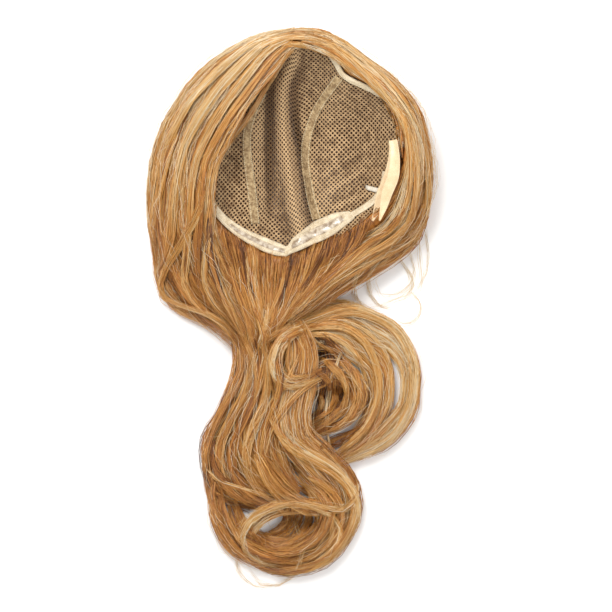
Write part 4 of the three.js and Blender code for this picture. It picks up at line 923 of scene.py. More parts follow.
laidLocks = {
    "front_hair_left": [
        laid(0.94, 0.38, 4, 5, (302, 33, 5), (262, 42, 9), (225, 68, 11), (190, 105, 13), (166, 150, 14),
            (158, 195, 13), (154, 235, 12), (157, 268, 9)),
        laid(0.94, 0.4, 4, 5, (300, 37, 4), (264, 48, 9), (230, 80, 11), (203, 115, 12), (185, 150, 12),
            (176, 190, 12), (172, 230, 11), (165, 262, 9), (160, 285, 7), (168, 300, 6), (196, 310, 6)),
        laid(0.78, 0.42, 4, 6, (299, 40, 3), (270, 53, 7), (243, 84, 9), (218, 120, 9), (200, 155, 9),
            (192, 190, 9), (190, 225, 9), (186, 258, 8), (184, 285, 7), (198, 306, 6), (226, 328, 6),
            (242, 352, 6), (243, 376, 5), (234, 400, 4)),
        laid(0.5, 0.36, 3, 6, (298, 42, 3), (275, 60, 5), (250, 92, 6), (226, 126, 7), (208, 158, 7),
            (202, 192, 8), (200, 228, 9), (198, 262, 9), (204, 292, 8), (220, 316, 7), (240, 345, 6)),
        laid(0.68, 0.46, 3, 8, (297, 44, 2), (285, 62, 4), (266, 90, 5), (246, 121, 6), (227, 148, 6),
            (217, 172, 6), (212, 200, 7), (209, 228, 8), (212, 260, 8), (222, 292, 8), (236, 322, 7),
            (249, 350, 6), (252, 376, 5), (245, 402, 5), (235, 425, 3)),
        laid(0.26, 0.36, 2, 4, (190, 114, 2), (179, 136, 6), (169, 158, 7), (163, 184, 3)),
        laid(0.55, 0.62, 4, 6, (206, 190, 5), (198, 215, 8), (184, 240, 8), (170, 262, 7), (161, 282, 6),
            (163, 297, 5), (182, 306, 5), (206, 313, 5), (228, 328, 5), (243, 350, 4)),
        laid(0.66, 0.6, 3, 6, (216, 205, 4), (212, 232, 6), (206, 258, 6), (205, 282, 6), (214, 303, 6),
            (230, 320, 5), (246, 342, 5), (256, 368, 5), (257, 394, 5), (250, 418, 4)),
        laid(0.7, 0.5, 3, 6, (180, 130, 3), (168, 165, 5), (160, 200, 6), (154, 228, 6), (153, 250, 5),
            (158, 275, 4)),
        # two near-black locks laid last, as painted shade in the gaps between the lighter locks
        laid(0.1, 0.16, 1, 6, (194, 236, 1), (187, 253, 5), (184, 269, 7), (189, 289, 3)),
        laid(0.06, 0.14, 1, 6, (213, 208, 2), (210, 224, 7), (210, 244, 8), (213, 266, 10), (221, 290, 8),
            (232, 312, 4)),
    ],
    "front_hair_right": [
        laid(0.95, 1, 2, 3, (397, 246, 3), (383, 257, 4), (371, 270, 5), (368, 285, 5), (372, 299, 4),
            (383, 307, 3), (397, 310, 2)),
        laid(0.95, 1, 2, 3, (388, 248, 2), (400, 258, 3), (408, 269, 3), (414, 282, 3), (411, 294, 3),
            (397, 301, 3), (382, 305, 3), (368, 307, 2)),
        laid(0.95, 1, 2, 2, (419, 224, 2), (419, 244, 3), (420, 262, 3), (422, 280, 3), (417, 296, 3),
            (405, 306, 2)),
        laid(0.95, 1, 2, 2, (424, 222, 2), (429, 240, 3), (429, 260, 3), (425, 279, 3), (415, 293, 3),
            (400, 302, 2)),
        laid(0.95, 1, 2, 2, (404, 240, 2), (412, 256, 3), (416, 273, 3), (409, 289, 3), (392, 297, 3),
            (378, 294, 3), (374, 281, 3), (382, 270, 2)),
        laid(0.95, 1, 2, 2, (411, 292, 2), (420, 303, 3), (419, 316, 3), (408, 324, 3), (396, 321, 3),
            (393, 310, 2)),
        laid(0.8, 0.9, 3, 3, (374, 252, 4), (361, 268, 6), (353, 285, 6), (357, 301, 5), (370, 311, 4),
            (388, 314, 3)),
        laid(0.84, 0.8, 4, 6, (238, 52, 4), (262, 41, 8), (284, 35, 10), (304, 33, 10), (326, 37, 9),
            (350, 50, 7), (368, 64, 4)),
        laid(0.8, 0.72, 3, 6, (258, 52, 3), (280, 43, 6), (300, 40, 7), (318, 43, 6), (338, 54, 4)),
        laid(0.84, 0.5, 4, 6, (296, 33, 5), (330, 39, 7), (362, 61, 8), (392, 90, 9), (414, 125, 9),
            (425, 165, 9), (427, 200, 9), (420, 228, 9), (402, 246, 8), (372, 262, 7), (342, 280, 6),
            (312, 303, 5), (290, 322, 3)),
        laid(0.6, 0.66, 2, 7, (282, 50, 3), (296, 47, 6), (309, 49, 7), (320, 53, 6), (331, 58, 5),
            (345, 68, 5), (358, 80, 4)),
        laid(0.8, 0.56, 3, 7, (298, 39, 3), (330, 48, 6), (358, 70, 7), (384, 97, 7), (404, 128, 7),
            (414, 162, 7), (415, 195, 7), (408, 222, 7), (392, 240, 7), (364, 257, 6), (334, 279, 5),
            (304, 306, 4), (288, 320, 3)),
        laid(0.5, 0.8, 3, 8, (298, 43, 2), (325, 50, 3), (348, 66, 4), (374, 91, 4), (400, 116, 4),
            (408, 145, 5), (409, 175, 5), (407, 200, 6), (398, 221, 6), (378, 239, 6), (350, 261, 5),
            (322, 285, 4), (298, 309, 3), (284, 323, 2)),
        laid(0.35, 0.45, 3, 6, (405, 205, 4), (392, 228, 5), (366, 246, 6), (340, 268, 6), (314, 292, 5),
            (292, 314, 3)),
    ],
    "nape_hair": [
        # most are darker at the root, by the band, than at the tip: painted shadow under the band
        laid(0.44, 0.52, 3, 5, (213, 216, 12), (222, 234, 12), (228, 257, 10), (235, 283, 9),
            (244, 308, 8), (252, 335, 6), (254, 362, 5)),
        laid(0.34, 0.52, 3, 5, (230, 229, 15), (236, 245, 15), (240, 263, 12), (246, 288, 9),
            (253, 312, 7), (259, 338, 5)),
        laid(0.46, 0.6, 3, 5, (248, 237, 15), (252, 253, 15), (254, 273, 12), (258, 297, 9), (262, 318, 6),
            (265, 342, 5)),
        laid(0.38, 0.56, 3, 5, (266, 245, 15), (267, 260, 15), (267, 280, 12), (268, 302, 9),
            (268, 322, 6), (268, 346, 5)),
        laid(0.46, 0.54, 3, 5, (285, 248, 15), (283, 263, 15), (280, 283, 12), (276, 304, 8),
            (273, 322, 6), (270, 346, 5)),
        laid(0.36, 0.5, 3, 5, (302, 243, 15), (299, 259, 15), (295, 280, 12), (287, 302, 8), (279, 320, 6),
            (272, 340, 4)),
        laid(0.44, 0.54, 3, 5, (320, 236, 15), (315, 253, 15), (309, 274, 12), (299, 296, 8),
            (286, 317, 6), (276, 334, 4)),
        laid(0.3, 0.45, 3, 5, (337, 228, 15), (332, 246, 15), (325, 266, 12), (312, 288, 8), (295, 310, 6),
            (280, 328, 4)),
        laid(0.26, 0.4, 3, 5, (352, 222, 14), (348, 239, 14), (341, 258, 12), (326, 280, 8), (306, 303, 6),
            (286, 324, 3)),
        laid(0.3, 0.4, 3, 5, (367, 212, 12), (363, 228, 12), (355, 247, 9), (338, 268, 7), (315, 295, 5),
            (292, 319, 3)),
        laid(0.16, 0.3, 2, 5, (240, 236, 5), (243, 256, 6), (249, 282, 5), (257, 308, 4)),
        laid(0.16, 0.3, 2, 5, (293, 246, 5), (290, 264, 6), (284, 288, 5), (275, 312, 4)),
        laid(0.16, 0.3, 2, 5, (328, 234, 5), (321, 256, 6), (307, 281, 5), (289, 306, 4)),
        laid(0.7, 0.6, 2, 9, (246, 250, 2), (248, 275, 3), (252, 300, 3), (260, 325, 3), (262, 350, 2)),
        laid(0.65, 0.6, 2, 9, (284, 268, 2), (282, 285, 3), (274, 305, 3), (266, 325, 3), (262, 345, 2)),
    ],
    "left_wave": [
        laid(0.44, 0.28, 4, 6, (238, 328, 6), (243, 355, 8), (237, 382, 9), (223, 408, 10), (210, 434, 11),
            (205, 460, 10), (210, 484, 8), (226, 502, 6), (250, 512, 5)),
        laid(0.54, 0.48, 4, 6, (246, 330, 6), (250, 362, 8), (246, 390, 9), (233, 416, 9), (221, 442, 10),
            (218, 466, 9), (226, 487, 8), (246, 502, 6), (270, 510, 5)),
        laid(0.36, 0.44, 4, 6, (254, 335, 6), (259, 366, 8), (256, 394, 9), (245, 420, 9), (234, 446, 9),
            (233, 470, 9), (243, 490, 8), (262, 503, 6), (288, 508, 5)),
        laid(0.58, 0.6, 4, 6, (262, 338, 6), (268, 368, 8), (266, 396, 9), (256, 422, 9), (247, 447, 9),
            (248, 470, 8), (257, 490, 7), (275, 502, 6), (300, 505, 5)),
        laid(0.4, 0.5, 4, 6, (268, 340, 6), (279, 366, 8), (279, 393, 9), (269, 418, 9), (261, 443, 9),
            (261, 466, 8), (271, 486, 7), (290, 498, 6), (312, 502, 5)),
        laid(0.62, 0.5, 3, 6, (352, 368, 2), (330, 374, 6), (306, 386, 7), (290, 401, 7), (277, 420, 7),
            (268, 442, 6), (263, 466, 5), (268, 488, 4)),
        laid(0.6, 0.66, 2, 6, (300, 352, 2), (288, 378, 4), (272, 402, 4), (254, 428, 4), (246, 452, 4),
            (252, 478, 3), (270, 498, 3)),
        laid(0.2, 0.2, 3, 7, (214, 440, 3), (212, 458, 6), (218, 474, 6), (234, 487, 4)),
    ],
    "right_wave": [
        laid(0.76, 0.84, 4, 6, (292, 322, 4), (320, 312, 7), (352, 307, 8), (382, 317, 8), (402, 333, 8),
            (414, 356, 8), (417, 380, 8), (413, 408, 8), (400, 432, 7), (380, 449, 6), (353, 461, 5),
            (330, 468, 3)),
        laid(0.66, 0.84, 4, 6, (296, 327, 4), (324, 318, 7), (357, 313, 7), (384, 324, 6), (402, 344, 5),
            (411, 368, 4), (412, 390, 5), (406, 412, 5), (393, 434, 5), (369, 448, 5), (344, 460, 4)),
        laid(0.64, 0.6, 4, 6, (290, 332, 4), (312, 327, 7), (340, 326, 8), (362, 338, 8), (374, 360, 8),
            (379, 382, 7), (377, 404, 7), (369, 424, 6), (354, 441, 6), (337, 454, 5), (322, 462, 3)),
        laid(0.76, 0.66, 3, 7, (300, 336, 4), (326, 335, 6), (348, 345, 6), (361, 363, 6), (367, 385, 5),
            (368, 402, 4)),
        laid(0.75, 0.7, 2, 9, (296, 330, 2), (330, 320, 3), (362, 328, 3), (384, 350, 3), (392, 378, 2),
            (388, 408, 2), (372, 436, 2)),
        laid(0.3, 0.3, 3, 7, (318, 332, 4), (336, 346, 6), (348, 362, 6), (352, 380, 4)),
    ],
    "inner_curl": [
        laid(0.1, 0.42, 4, 4, (318, 334, 10), (330, 354, 24), (331, 384, 30), (326, 412, 22),
            (320, 430, 12)),
        laid(0.3, 0.36, 4, 4, (318, 447, 6), (332, 444, 12), (350, 436, 11), (368, 424, 8)),
        laid(0.46, 0.6, 3, 6, (316, 344, 4), (330, 350, 8), (346, 362, 9), (357, 381, 9), (358, 401, 8),
            (349, 419, 7), (332, 431, 6), (316, 438, 4)),
        laid(0.6, 0.46, 3, 6, (316, 357, 4), (327, 363, 8), (339, 374, 8), (347, 389, 8), (345, 405, 7),
            (334, 418, 6), (314, 430, 4)),
        laid(0.36, 0.5, 3, 6, (315, 371, 4), (324, 378, 7), (333, 389, 7), (334, 402, 7), (326, 413, 6),
            (312, 422, 4)),
        laid(0.62, 0.56, 3, 6, (314, 390, 3), (320, 397, 6), (322, 405, 6), (318, 412, 5), (311, 416, 3)),
        laid(0.8, 0.75, 2, 4, (346, 333, 1), (339, 358, 3), (330, 384, 4), (326, 408, 4), (327, 432, 3),
            (332, 456, 2)),
        laid(0.7, 0.7, 2, 4, (300, 326, 2), (318, 343, 3), (338, 360, 4), (354, 380, 4), (364, 400, 3),
            (366, 420, 2)),
    ],
    "end_curl": [
        laid(0.46, 0.5, 5, 4, (230, 500, 10), (240, 524, 18), (262, 544, 22), (292, 546, 22),
            (316, 532, 16)),
        laid(0.48, 0.54, 5, 4, (296, 474, 12), (318, 496, 20), (324, 522, 22), (308, 542, 20),
            (276, 552, 14)),
        laid(0.48, 0.54, 5, 4, (258, 452, 12), (272, 478, 20), (292, 498, 22), (318, 512, 14)),
        laid(0.48, 0.54, 3, 4, (292, 500, 8), (295, 511, 18), (292, 524, 20), (281, 535, 18),
            (264, 541, 14), (250, 538, 8)),
        laid(0.4, 0.4, 4, 7, (214, 480, 5), (213, 505, 7), (221, 530, 8), (236, 550, 8), (256, 564, 7),
            (280, 572, 6), (305, 571, 5), (325, 561, 3)),
        laid(0.5, 0.45, 4, 7, (222, 487, 4), (224, 510, 6), (233, 532, 7), (248, 548, 7), (268, 558, 7),
            (290, 560, 6), (310, 552, 4)),
        laid(0.44, 0.5, 4, 7, (234, 492, 4), (238, 512, 6), (249, 530, 7), (265, 542, 7), (285, 547, 6),
            (302, 541, 4)),
        laid(0.5, 0.55, 4, 7, (288, 500, 4), (302, 507, 6), (308, 519, 7), (303, 532, 7), (289, 541, 6),
            (272, 540, 5), (258, 530, 3)),
        laid(0.45, 0.5, 4, 7, (298, 488, 5), (317, 499, 7), (324, 516, 8), (318, 534, 8), (302, 547, 7),
            (282, 552, 6), (262, 546, 4), (252, 534, 3)),
        laid(0.55, 0.5, 4, 7, (284, 462, 6), (305, 475, 8), (325, 486, 9), (338, 502, 9), (341, 520, 8),
            (334, 538, 8), (318, 552, 7), (298, 561, 6), (276, 562, 4)),
        laid(0.66, 0.6, 4, 7, (268, 405, 5), (275, 426, 8), (290, 446, 10), (312, 460, 10), (334, 473, 9),
            (349, 488, 8), (355, 506, 8), (351, 526, 8), (341, 544, 8), (324, 560, 7), (300, 570, 6),
            (274, 572, 4)),
        laid(0.8, 0.65, 3, 8, (286, 428, 4), (302, 447, 7), (325, 461, 7), (345, 477, 6), (356, 496, 6),
            (358, 515, 6), (351, 537, 6), (335, 556, 6), (311, 570, 5), (286, 576, 4), (262, 571, 3),
            (244, 561, 2)),
        laid(0.4, 0.5, 3, 6, (270, 504, 4), (281, 509, 6), (286, 518, 7), (281, 528, 7), (270, 535, 6),
            (257, 536, 4)),
        laid(0.55, 0.45, 3, 6, (286, 499, 4), (302, 505, 6), (310, 518, 7), (305, 533, 7), (291, 544, 7),
            (272, 549, 6), (256, 545, 4)),
        laid(0.5, 0.66, 2, 5, (202, 440, 2), (202, 459, 3), (210, 474, 4), (229, 485, 4), (252, 492, 4),
            (276, 498, 4), (300, 500, 3)),
        laid(0.5, 0.6, 3, 6, (205, 468, 2), (208, 483, 4), (219, 496, 5), (237, 505, 5), (258, 509, 5),
            (278, 505, 4), (304, 500, 3)),
        laid(0.6, 0.75, 3, 7, (312, 563, 2), (331, 551, 4), (341, 536, 5), (335, 520, 6), (317, 509, 6),
            (294, 504, 6), (272, 508, 6), (254, 518, 6), (243, 533, 6), (243, 548, 5), (255, 560, 4),
            (276, 567, 3)),
        laid(0.7, 0.7, 2, 9, (300, 500, 3), (320, 508, 4), (332, 524, 4), (330, 542, 4), (316, 556, 3)),
        laid(0.68, 0.72, 3, 6, (348, 466, 2), (357, 484, 5), (353, 502, 6), (340, 511, 7), (322, 508, 7),
            (300, 503, 6), (276, 506, 5), (256, 516, 4)),
        laid(0.42, 0.5, 3, 7, (208, 438, 5), (204, 458, 7), (206, 480, 8), (212, 505, 8), (223, 530, 6)),
        laid(0.75, 0.95, 3, 3, (292, 515, 3), (300, 536, 4), (302, 555, 4), (297, 571, 4), (286, 584, 3),
            (270, 588, 3), (254, 581, 3), (248, 570, 2)),
        laid(0.85, 0.95, 3, 3, (240, 556, 3), (236, 568, 3), (246, 582, 3), (262, 590, 2), (274, 588, 2)),
    ],
    "loop_lock": [
        laid(0.5, 0.6, 3, 6, (252, 305, 4), (262, 325, 6), (266, 350, 7), (262, 378, 6), (254, 402, 4)),
        laid(0.55, 0.55, 3, 6, (285, 305, 4), (272, 325, 6), (266, 348, 6), (272, 374, 6), (276, 400, 4)),
        laid(0.65, 0.6, 2, 6, (268, 300, 3), (266, 326, 5), (257, 352, 5), (250, 380, 5), (243, 404, 3)),
        laid(0.8, 0.75, 3, 9, (300, 324, 2), (284, 337, 5), (275, 352, 6), (273, 368, 6), (278, 382, 6),
            (291, 387, 5), (308, 383, 4), (324, 377, 2)),
        laid(0.56, 0.7, 3, 6, (256, 348, 3), (271, 338, 7), (287, 329, 10), (304, 321, 11), (323, 313, 9),
            (346, 307, 7), (372, 311, 4)),
        laid(0.44, 0.6, 2, 6, (264, 358, 2), (278, 344, 4), (295, 334, 6), (315, 326, 6), (338, 320, 5),
            (362, 324, 3)),
        laid(0.5, 0.55, 2, 9, (290, 335, 2), (288, 350, 4), (288, 366, 4), (294, 377, 3), (308, 375, 2)),
    ],
}

# What is laid so far is kept as a map of its top, every step millimetres of the plan.
groundMap = {
    "step": 2.0, "left": -160, "right": 162, "low": -302, "high": 294, "from": 200, "over": 2.0,
}
capOver = {"reach": 1.03, "height": 2.5}  # locks over the cap lie this far over the net


def heightMap(parts):
    points, faces = joinMeshes(parts)
    tree = BVHTree.FromPolygons(points.tolist(), faces)
    xs = np.arange(groundMap["left"], groundMap["right"], groundMap["step"])
    ys = np.arange(groundMap["low"], groundMap["high"], groundMap["step"])
    tops = np.zeros((len(ys), len(xs)))
    for j, y in enumerate(ys):
        for i, x in enumerate(xs):
            hit = tree.ray_cast((x, y, groundMap["from"]), (0, 0, -1))[0]
            tops[j, i] = hit[2] + groundMap["over"] if hit else 0.0
    gridX, gridY = np.meshgrid(xs, ys)
    return {"x": gridX, "y": gridY, "tops": tops}


def raiseToCap(ground):  # from now on locks lie over the cap and its bands
    inside = capShare(ground["x"], ground["y"])[0] < capOver["reach"]
    over = np.maximum(ground["tops"], netHeight(ground["x"], ground["y"]) + capOver["height"])
    ground["tops"] = np.where(inside, over, ground["tops"])


def topAt(ground, x, y):
    i, j = (x - groundMap["left"]) / groundMap["step"], (y - groundMap["low"]) / groundMap["step"]
    return gridAt(ground["tops"], i, j)


def eased(values, rounds):  # evens out a line of values, ends kept
    for _ in range(rounds):
        inner = (values[:-2] + values[1:-1] + values[2:]) / 3
        values = np.concatenate([values[:1], inner, values[-1:]])
    return values


# How a laid lock lies: shares of its thickness and width, and a station for so many millimetres of its run.
laying = {
    "places": 12, "endThick": 0.35, "steepest": 1.4, "covers": 0.45, "most": 0.3, "raises": 0.7, "eased": 6,
}
laidStations = {"every": 15, "least": 8, "most": 21}


def layLock(ground, lock):  # lays a lock on what is there, and raises the ground by it
    rows = lock["rows"]
    last = len(rows["right"]) - 1
    t = np.linspace(0, last, laying["places"] * last + 1)
    x, y = columnAt(rows, "right", t) + frameLeft, frameTop - columnAt(rows, "down", t)
    wide = columnAt(rows, "wide", t)
    ahead = np.stack([np.gradient(x), np.gradient(y)], -1)
    run = np.linalg.norm(ahead, axis=1)
    ahead /= run[:, None]
    across = np.stack([ahead[:, 1], -ahead[:, 0]], -1)
    thick = lock["thick"] * np.minimum(1, laying["endThick"] + 3 * np.minimum(t, last - t) / last)

    def restAt(shares):  # the highest ground under part of the lock's width, evened out along it
        spots = [topAt(ground, x + across[:, 0] * wide * s, y + across[:, 1] * wide * s) for s in shares]
        return eased(np.maximum.reduce(spots), laying["eased"])

    left, under, right = restAt((-0.5, -0.35)), restAt((-0.15, 0, 0.15)), restAt((0.35, 0.5))
    middle = np.maximum(under, (left + right) / 2) + thick * 0.5
    slope = np.clip((right - left) / wide, -laying["steepest"], laying["steepest"])
    side = np.stack([*across.T, slope], -1) * (wide / 2 / np.sqrt(1 + slope**2))[:, None]
    lift = np.cross(side, np.stack([*ahead.T, np.gradient(middle) / run], -1))
    lift *= (np.sign(lift[:, 2]) / np.linalg.norm(lift, axis=1) * thick / 2)[:, None]
    for k in range(0, len(t), 3):
        near = np.hypot(ground["x"] - x[k], ground["y"] - y[k]) < wide[k] * laying["covers"]
        tops = ground["tops"][near]
        raised = np.minimum(middle[k] + thick[k] * laying["most"], tops + thick[k] * laying["raises"])
        ground["tops"][near] = np.maximum(tops, raised)
    root, tip = lock["shade"]
    stations = np.clip(run.sum() / laidStations["every"], laidStations["least"], laidStations["most"])
    return {
        "middle": np.stack([x, y, middle], -1), "side": side, "lift": lift, "along": t / last,
        "shade": root + (tip - root) * t / last, "strands": max(2, int(wide.max() * lock["perWidth"])),
        "stations": int(stations),
    }


lockOverlap = 1.5  # how much wider the locks of a sheaf are than their share of it


def lockFrames(rows, locks, index, count):  # the middle line of a lock, and its half width and half thickness
    last = len(rows["down"]) - 1
    t = np.linspace(0, last, count)

    def at(t):
        down = columnAt(rows, "down", t)
        x = capSizes["middleX"] + columnAt(rows, "across", t) * hairSizes["unit"]
        y = planY(np.minimum(down, 1)) - np.maximum(0, down - 1) * hairSizes["tail"]
        return np.stack([x, y, columnAt(rows, "rise", t) * capSizes["rest"]], -1)

    side, up = rolledSides(at, t, last, 0.15, columnAt(rows, "roll", t))
    whole = columnAt(rows, "wide", t) * hairSizes["unit"]
    overlap = lockOverlap if locks > 1 else 1.0
    shift = ((index + 0.5) / locks - 0.5) * whole * (1 - (overlap - 1) / locks)
    return {
        "middle": at(t) + side * shift[:, None],
        "side": side * (whole / 2 / locks * overlap)[:, None],
        "lift": up * (columnAt(rows, "thick", t) * hairSizes["thick"] / 2)[:, None],
        "along": t / last,
    }


# The dense inside of a lock, as a share of it, with two sets of furrows (how deep, how many), and points that
# take a ninth of its length.
bodyForm = {
    "share": 0.8, "sides": 16, "furrows": ((0.05, 5), (0.03, 9)), "pointed": 9, "tip": 0.02, "floor": 0.1,
}


def lockBody(frames):
    seed = frames["middle"][0, 0]
    fromEnd = np.minimum(frames["along"], 1 - frames["along"])
    pointed = np.sqrt(np.clip(fromEnd * bodyForm["pointed"], bodyForm["tip"], 1))[:, None]
    rings = []
    for k in range(bodyForm["sides"]):
        turn = (k + 0.5) / bodyForm["sides"] * wholeTurn
        furrow = 1
        for n, (deep, many) in enumerate(bodyForm["furrows"], 1):
            furrow += deep * math.sin(turn * many + n * seed)
        out = frames["side"] * math.cos(turn) + frames["lift"] * math.sin(turn)
        p = frames["middle"] + out * (bodyForm["share"] * furrow) * pointed
        p[:, 2] = np.maximum(p[:, 2], bodyForm["floor"])
        rings.append(p)
    return np.stack(rings, 1)


def fibrePlaces(rings, number):  # how far round and along a body each point lies, in millimetres
    step = np.linalg.norm(np.diff(rings, axis=1, append=rings[:, :1]), axis=2).mean(0)
    aroundIt = np.broadcast_to(np.concatenate([[0], np.cumsum(step)[:-1]]), rings.shape[:2])
    run = np.linalg.norm(np.diff(rings.mean(1), axis=0), axis=1)
    along = np.broadcast_to(np.concatenate([[0], np.cumsum(run)])[:, None], rings.shape[:2])
    own = np.full(rings.shape[:2], number * 13.7)  # so that no two bodies have the same fibres
    return np.stack([aroundIt, along, own], -1).reshape(-1, 3)


# What a guide line tells the strands that follow it.
guideColumns = {
    "side": "FLOAT_VECTOR", "lift": "FLOAT_VECTOR", "along": "FLOAT", "shade": "FLOAT", "clumps": "FLOAT",
    "lockId": "FLOAT", "strands": "INT", "stations": "INT",
}
# Radius is a strand's own. Strands lie between Shell and the outside of the lock, a share of them under it.
# Clump draws them together and Drift leads them aside towards the tip, and Ragged cuts their ends. Relief is
# of ridges along the lock, Wave of bends that neighbours share, Frizz of a strand's own, which is Stray times
# as much on a few. Streak sets off light from dark.
combing = {
    "Radius": hairSizes["strand"] * mm, "Shell": 0.8, "Under share": 0.08, "Clump": 0.35, "Drift": 0.6,
    "Relief": 0.32, "Wave": 6.0 * mm, "Frizz": 6.5 * mm, "Stray": 4.0, "Streak": 1.9, "Ragged": 0.25,
}
laidCombing = {
    "Wave": 3.0 * mm, "Frizz": 6.0 * mm, "Relief": 0.2, "Clump": 0.4, "Ragged": 0.4, "Under share": 0.0,
    "Streak": 1.2, "Shell": 0.4,
}
wispCombing = {
    **laidCombing, "Radius": 0.15 * mm, "Streak": 0.3, "Clump": 0.1, "Frizz": 14.0 * mm, "Shell": 0.2,
}
flyaways = {
    "Radius": 0.15 * mm, "Shell": 1.7, "Clump": 0.0, "Drift": 1.2, "Frizz": 42.0 * mm, "Wave": 14.0 * mm,
    "Stray": 1.6, "Streak": 0.3, "Ragged": 0.7, "Under share": 0.0,
}
crownCombing = {"Under share": 0.0, "Wave": 2.0 * mm, "Ragged": 0.5}
clumpWidth, lockIdStep = 7.0, 1.37
# Scales of the noises, the height kept over the floor in millimetres, the share that strays, and how much
# tones change from strand to strand and with depth: inner is painted shade on deep strands, outer painted
# light on outer ones.
strandLook = {
    "bendScale": 26.0, "unrestScale": 34.0, "overFloor": 0.6, "strayShare": 0.14, "streakScale": 3.4,
    "single": 0.13, "inner": -0.14, "outer": 0.12,
}


def strandTree():
    inputs = {**{name: "Float" for name in combing}, "Seed": "Int", "Finish": "Material"}
    tree, add, given = newTree("strandsAlongLocks", inputs)
    read = {}
    for name, kind in guideColumns.items():
        read[name] = add("GeometryNodeInputNamedAttribute", {"Name": name}, data_type=kind)
    index = add("GeometryNodeInputIndex")

    def chance(offset):  # three random numbers that one strand keeps along its length
        seed = add("FunctionNodeIntegerMath", {0: given["Seed"], 1: offset})
        drawn = add("FunctionNodeRandomValue", {"ID": index, "Seed": seed}, data_type="FLOAT_VECTOR")
        kept = add("GeometryNodeFieldOnDomain", {0: drawn}, domain="CURVE", data_type="FLOAT_VECTOR")
        return add("ShaderNodeSeparateXYZ", {0: kept}).outputs

    first, second, third = chance(1), chance(2), chance(3)

    guides = add("GeometryNodeMeshToCurve", {0: given["Geometry"]})
    amount = {"Geometry": guides, "Amount": read["strands"]}
    copies = add("GeometryNodeDuplicateElements", amount, domain="SPLINE")
    cutBack = add("ShaderNodeMath", {0: third[0], 1: third[0]}, operation="MULTIPLY")
    cutEnd = add("ShaderNodeMath", {0: cutBack, 1: given["Ragged"]}, operation="MULTIPLY")
    endAt = add("ShaderNodeMath", {0: 1.0, 1: cutEnd}, operation="SUBTRACT")
    cutStart = add("ShaderNodeMath", {0: third[1], 1: given["Ragged"]}, operation="MULTIPLY")
    startAt = add("ShaderNodeMath", {0: cutStart, 1: 0.4}, operation="MULTIPLY")
    trimmed = add("GeometryNodeTrimCurve", {"Curve": copies, "Start": startAt, "End": endAt})
    stepped = add("GeometryNodeResampleCurve", {"Curve": trimmed, "Count": read["stations"]})

    # Where in the lock the strand runs: -1 to 1 across it, drawn a little towards the middle of its clump.
    across = add("ShaderNodeMapRange", {"Value": first[0], "To Min": -1.0, "To Max": 1.0})
    inClumps = add("ShaderNodeMath", {0: across, 1: read["clumps"]}, operation="MULTIPLY")
    nearest = add("ShaderNodeMath", {0: inClumps}, operation="ROUND")
    clumpAt = add("ShaderNodeMath", {0: nearest, 1: read["clumps"]}, operation="DIVIDE")
    away = add("ShaderNodeMath", {0: clumpAt, 1: across}, operation="SUBTRACT")
    pull = add("ShaderNodeMath", {0: read["along"], 1: given["Clump"]}, operation="MULTIPLY")
    drawn = add("ShaderNodeMath", {0: away, 1: pull, 2: across}, operation="MULTIPLY_ADD")
    lean = add("ShaderNodeMapRange", {"Value": second[2], "To Min": -1.0, "To Max": 1.0})
    later = add("ShaderNodeMath", {0: read["along"], 1: 0.3}, operation="SUBTRACT")
    leaned = add("ShaderNodeMath", {0: lean, 1: later}, operation="MULTIPLY")
    place = add("ShaderNodeMath", {0: leaned, 1: given["Drift"], 2: drawn}, operation="MULTIPLY_ADD")
    squared = add("ShaderNodeMath", {0: place, 1: place}, operation="MULTIPLY")
    left = add("ShaderNodeMath", {0: 1.0, 1: squared}, operation="SUBTRACT", use_clamp=True)
    arch = add("ShaderNodeMath", {0: left}, operation="SQRT")

    # Ridges along the lock, so that light and shade run with the hair.
    spread = add("ShaderNodeMath", {0: inClumps, 1: 0.8}, operation="MULTIPLY")
    apart = add("ShaderNodeMath", {0: read["lockId"], 1: 3.17}, operation="MULTIPLY")
    run = add("ShaderNodeMath", {0: read["along"], 1: 2.2}, operation="MULTIPLY")
    ridgeAt = add("ShaderNodeCombineXYZ", {0: spread, 1: apart, 2: run})
    ridge = add("ShaderNodeTexNoise", {"Vector": ridgeAt, "Scale": 1.0, "Detail": 1.0})
    centred = add("ShaderNodeMath", {0: ridge.outputs["Fac"], 1: 0.5}, operation="SUBTRACT")
    deep = add("ShaderNodeMapRange", {"Value": first[1], "To Min": given["Shell"], "To Max": 1.06})
    shell = add("ShaderNodeMath", {0: centred, 1: given["Relief"], 2: deep}, operation="MULTIPLY_ADD")
    isUnder = add("ShaderNodeMath", {0: second[1], 1: given["Under share"]}, operation="LESS_THAN")
    sign = add("ShaderNodeMath", {0: isUnder, 1: -2.0, 2: 1.0}, operation="MULTIPLY_ADD")
    rise = add("ShaderNodeMath", {0: arch, 1: shell}, operation="MULTIPLY")
    height = add("ShaderNodeMath", {0: rise, 1: sign}, operation="MULTIPLY")
    sideways = add("ShaderNodeVectorMath", {0: read["side"], "Scale": place}, operation="SCALE")
    upwards = add("ShaderNodeVectorMath", {0: read["lift"], "Scale": height}, operation="SCALE")
    inLock = add("ShaderNodeVectorMath", {0: sideways, 1: upwards}, operation="ADD")

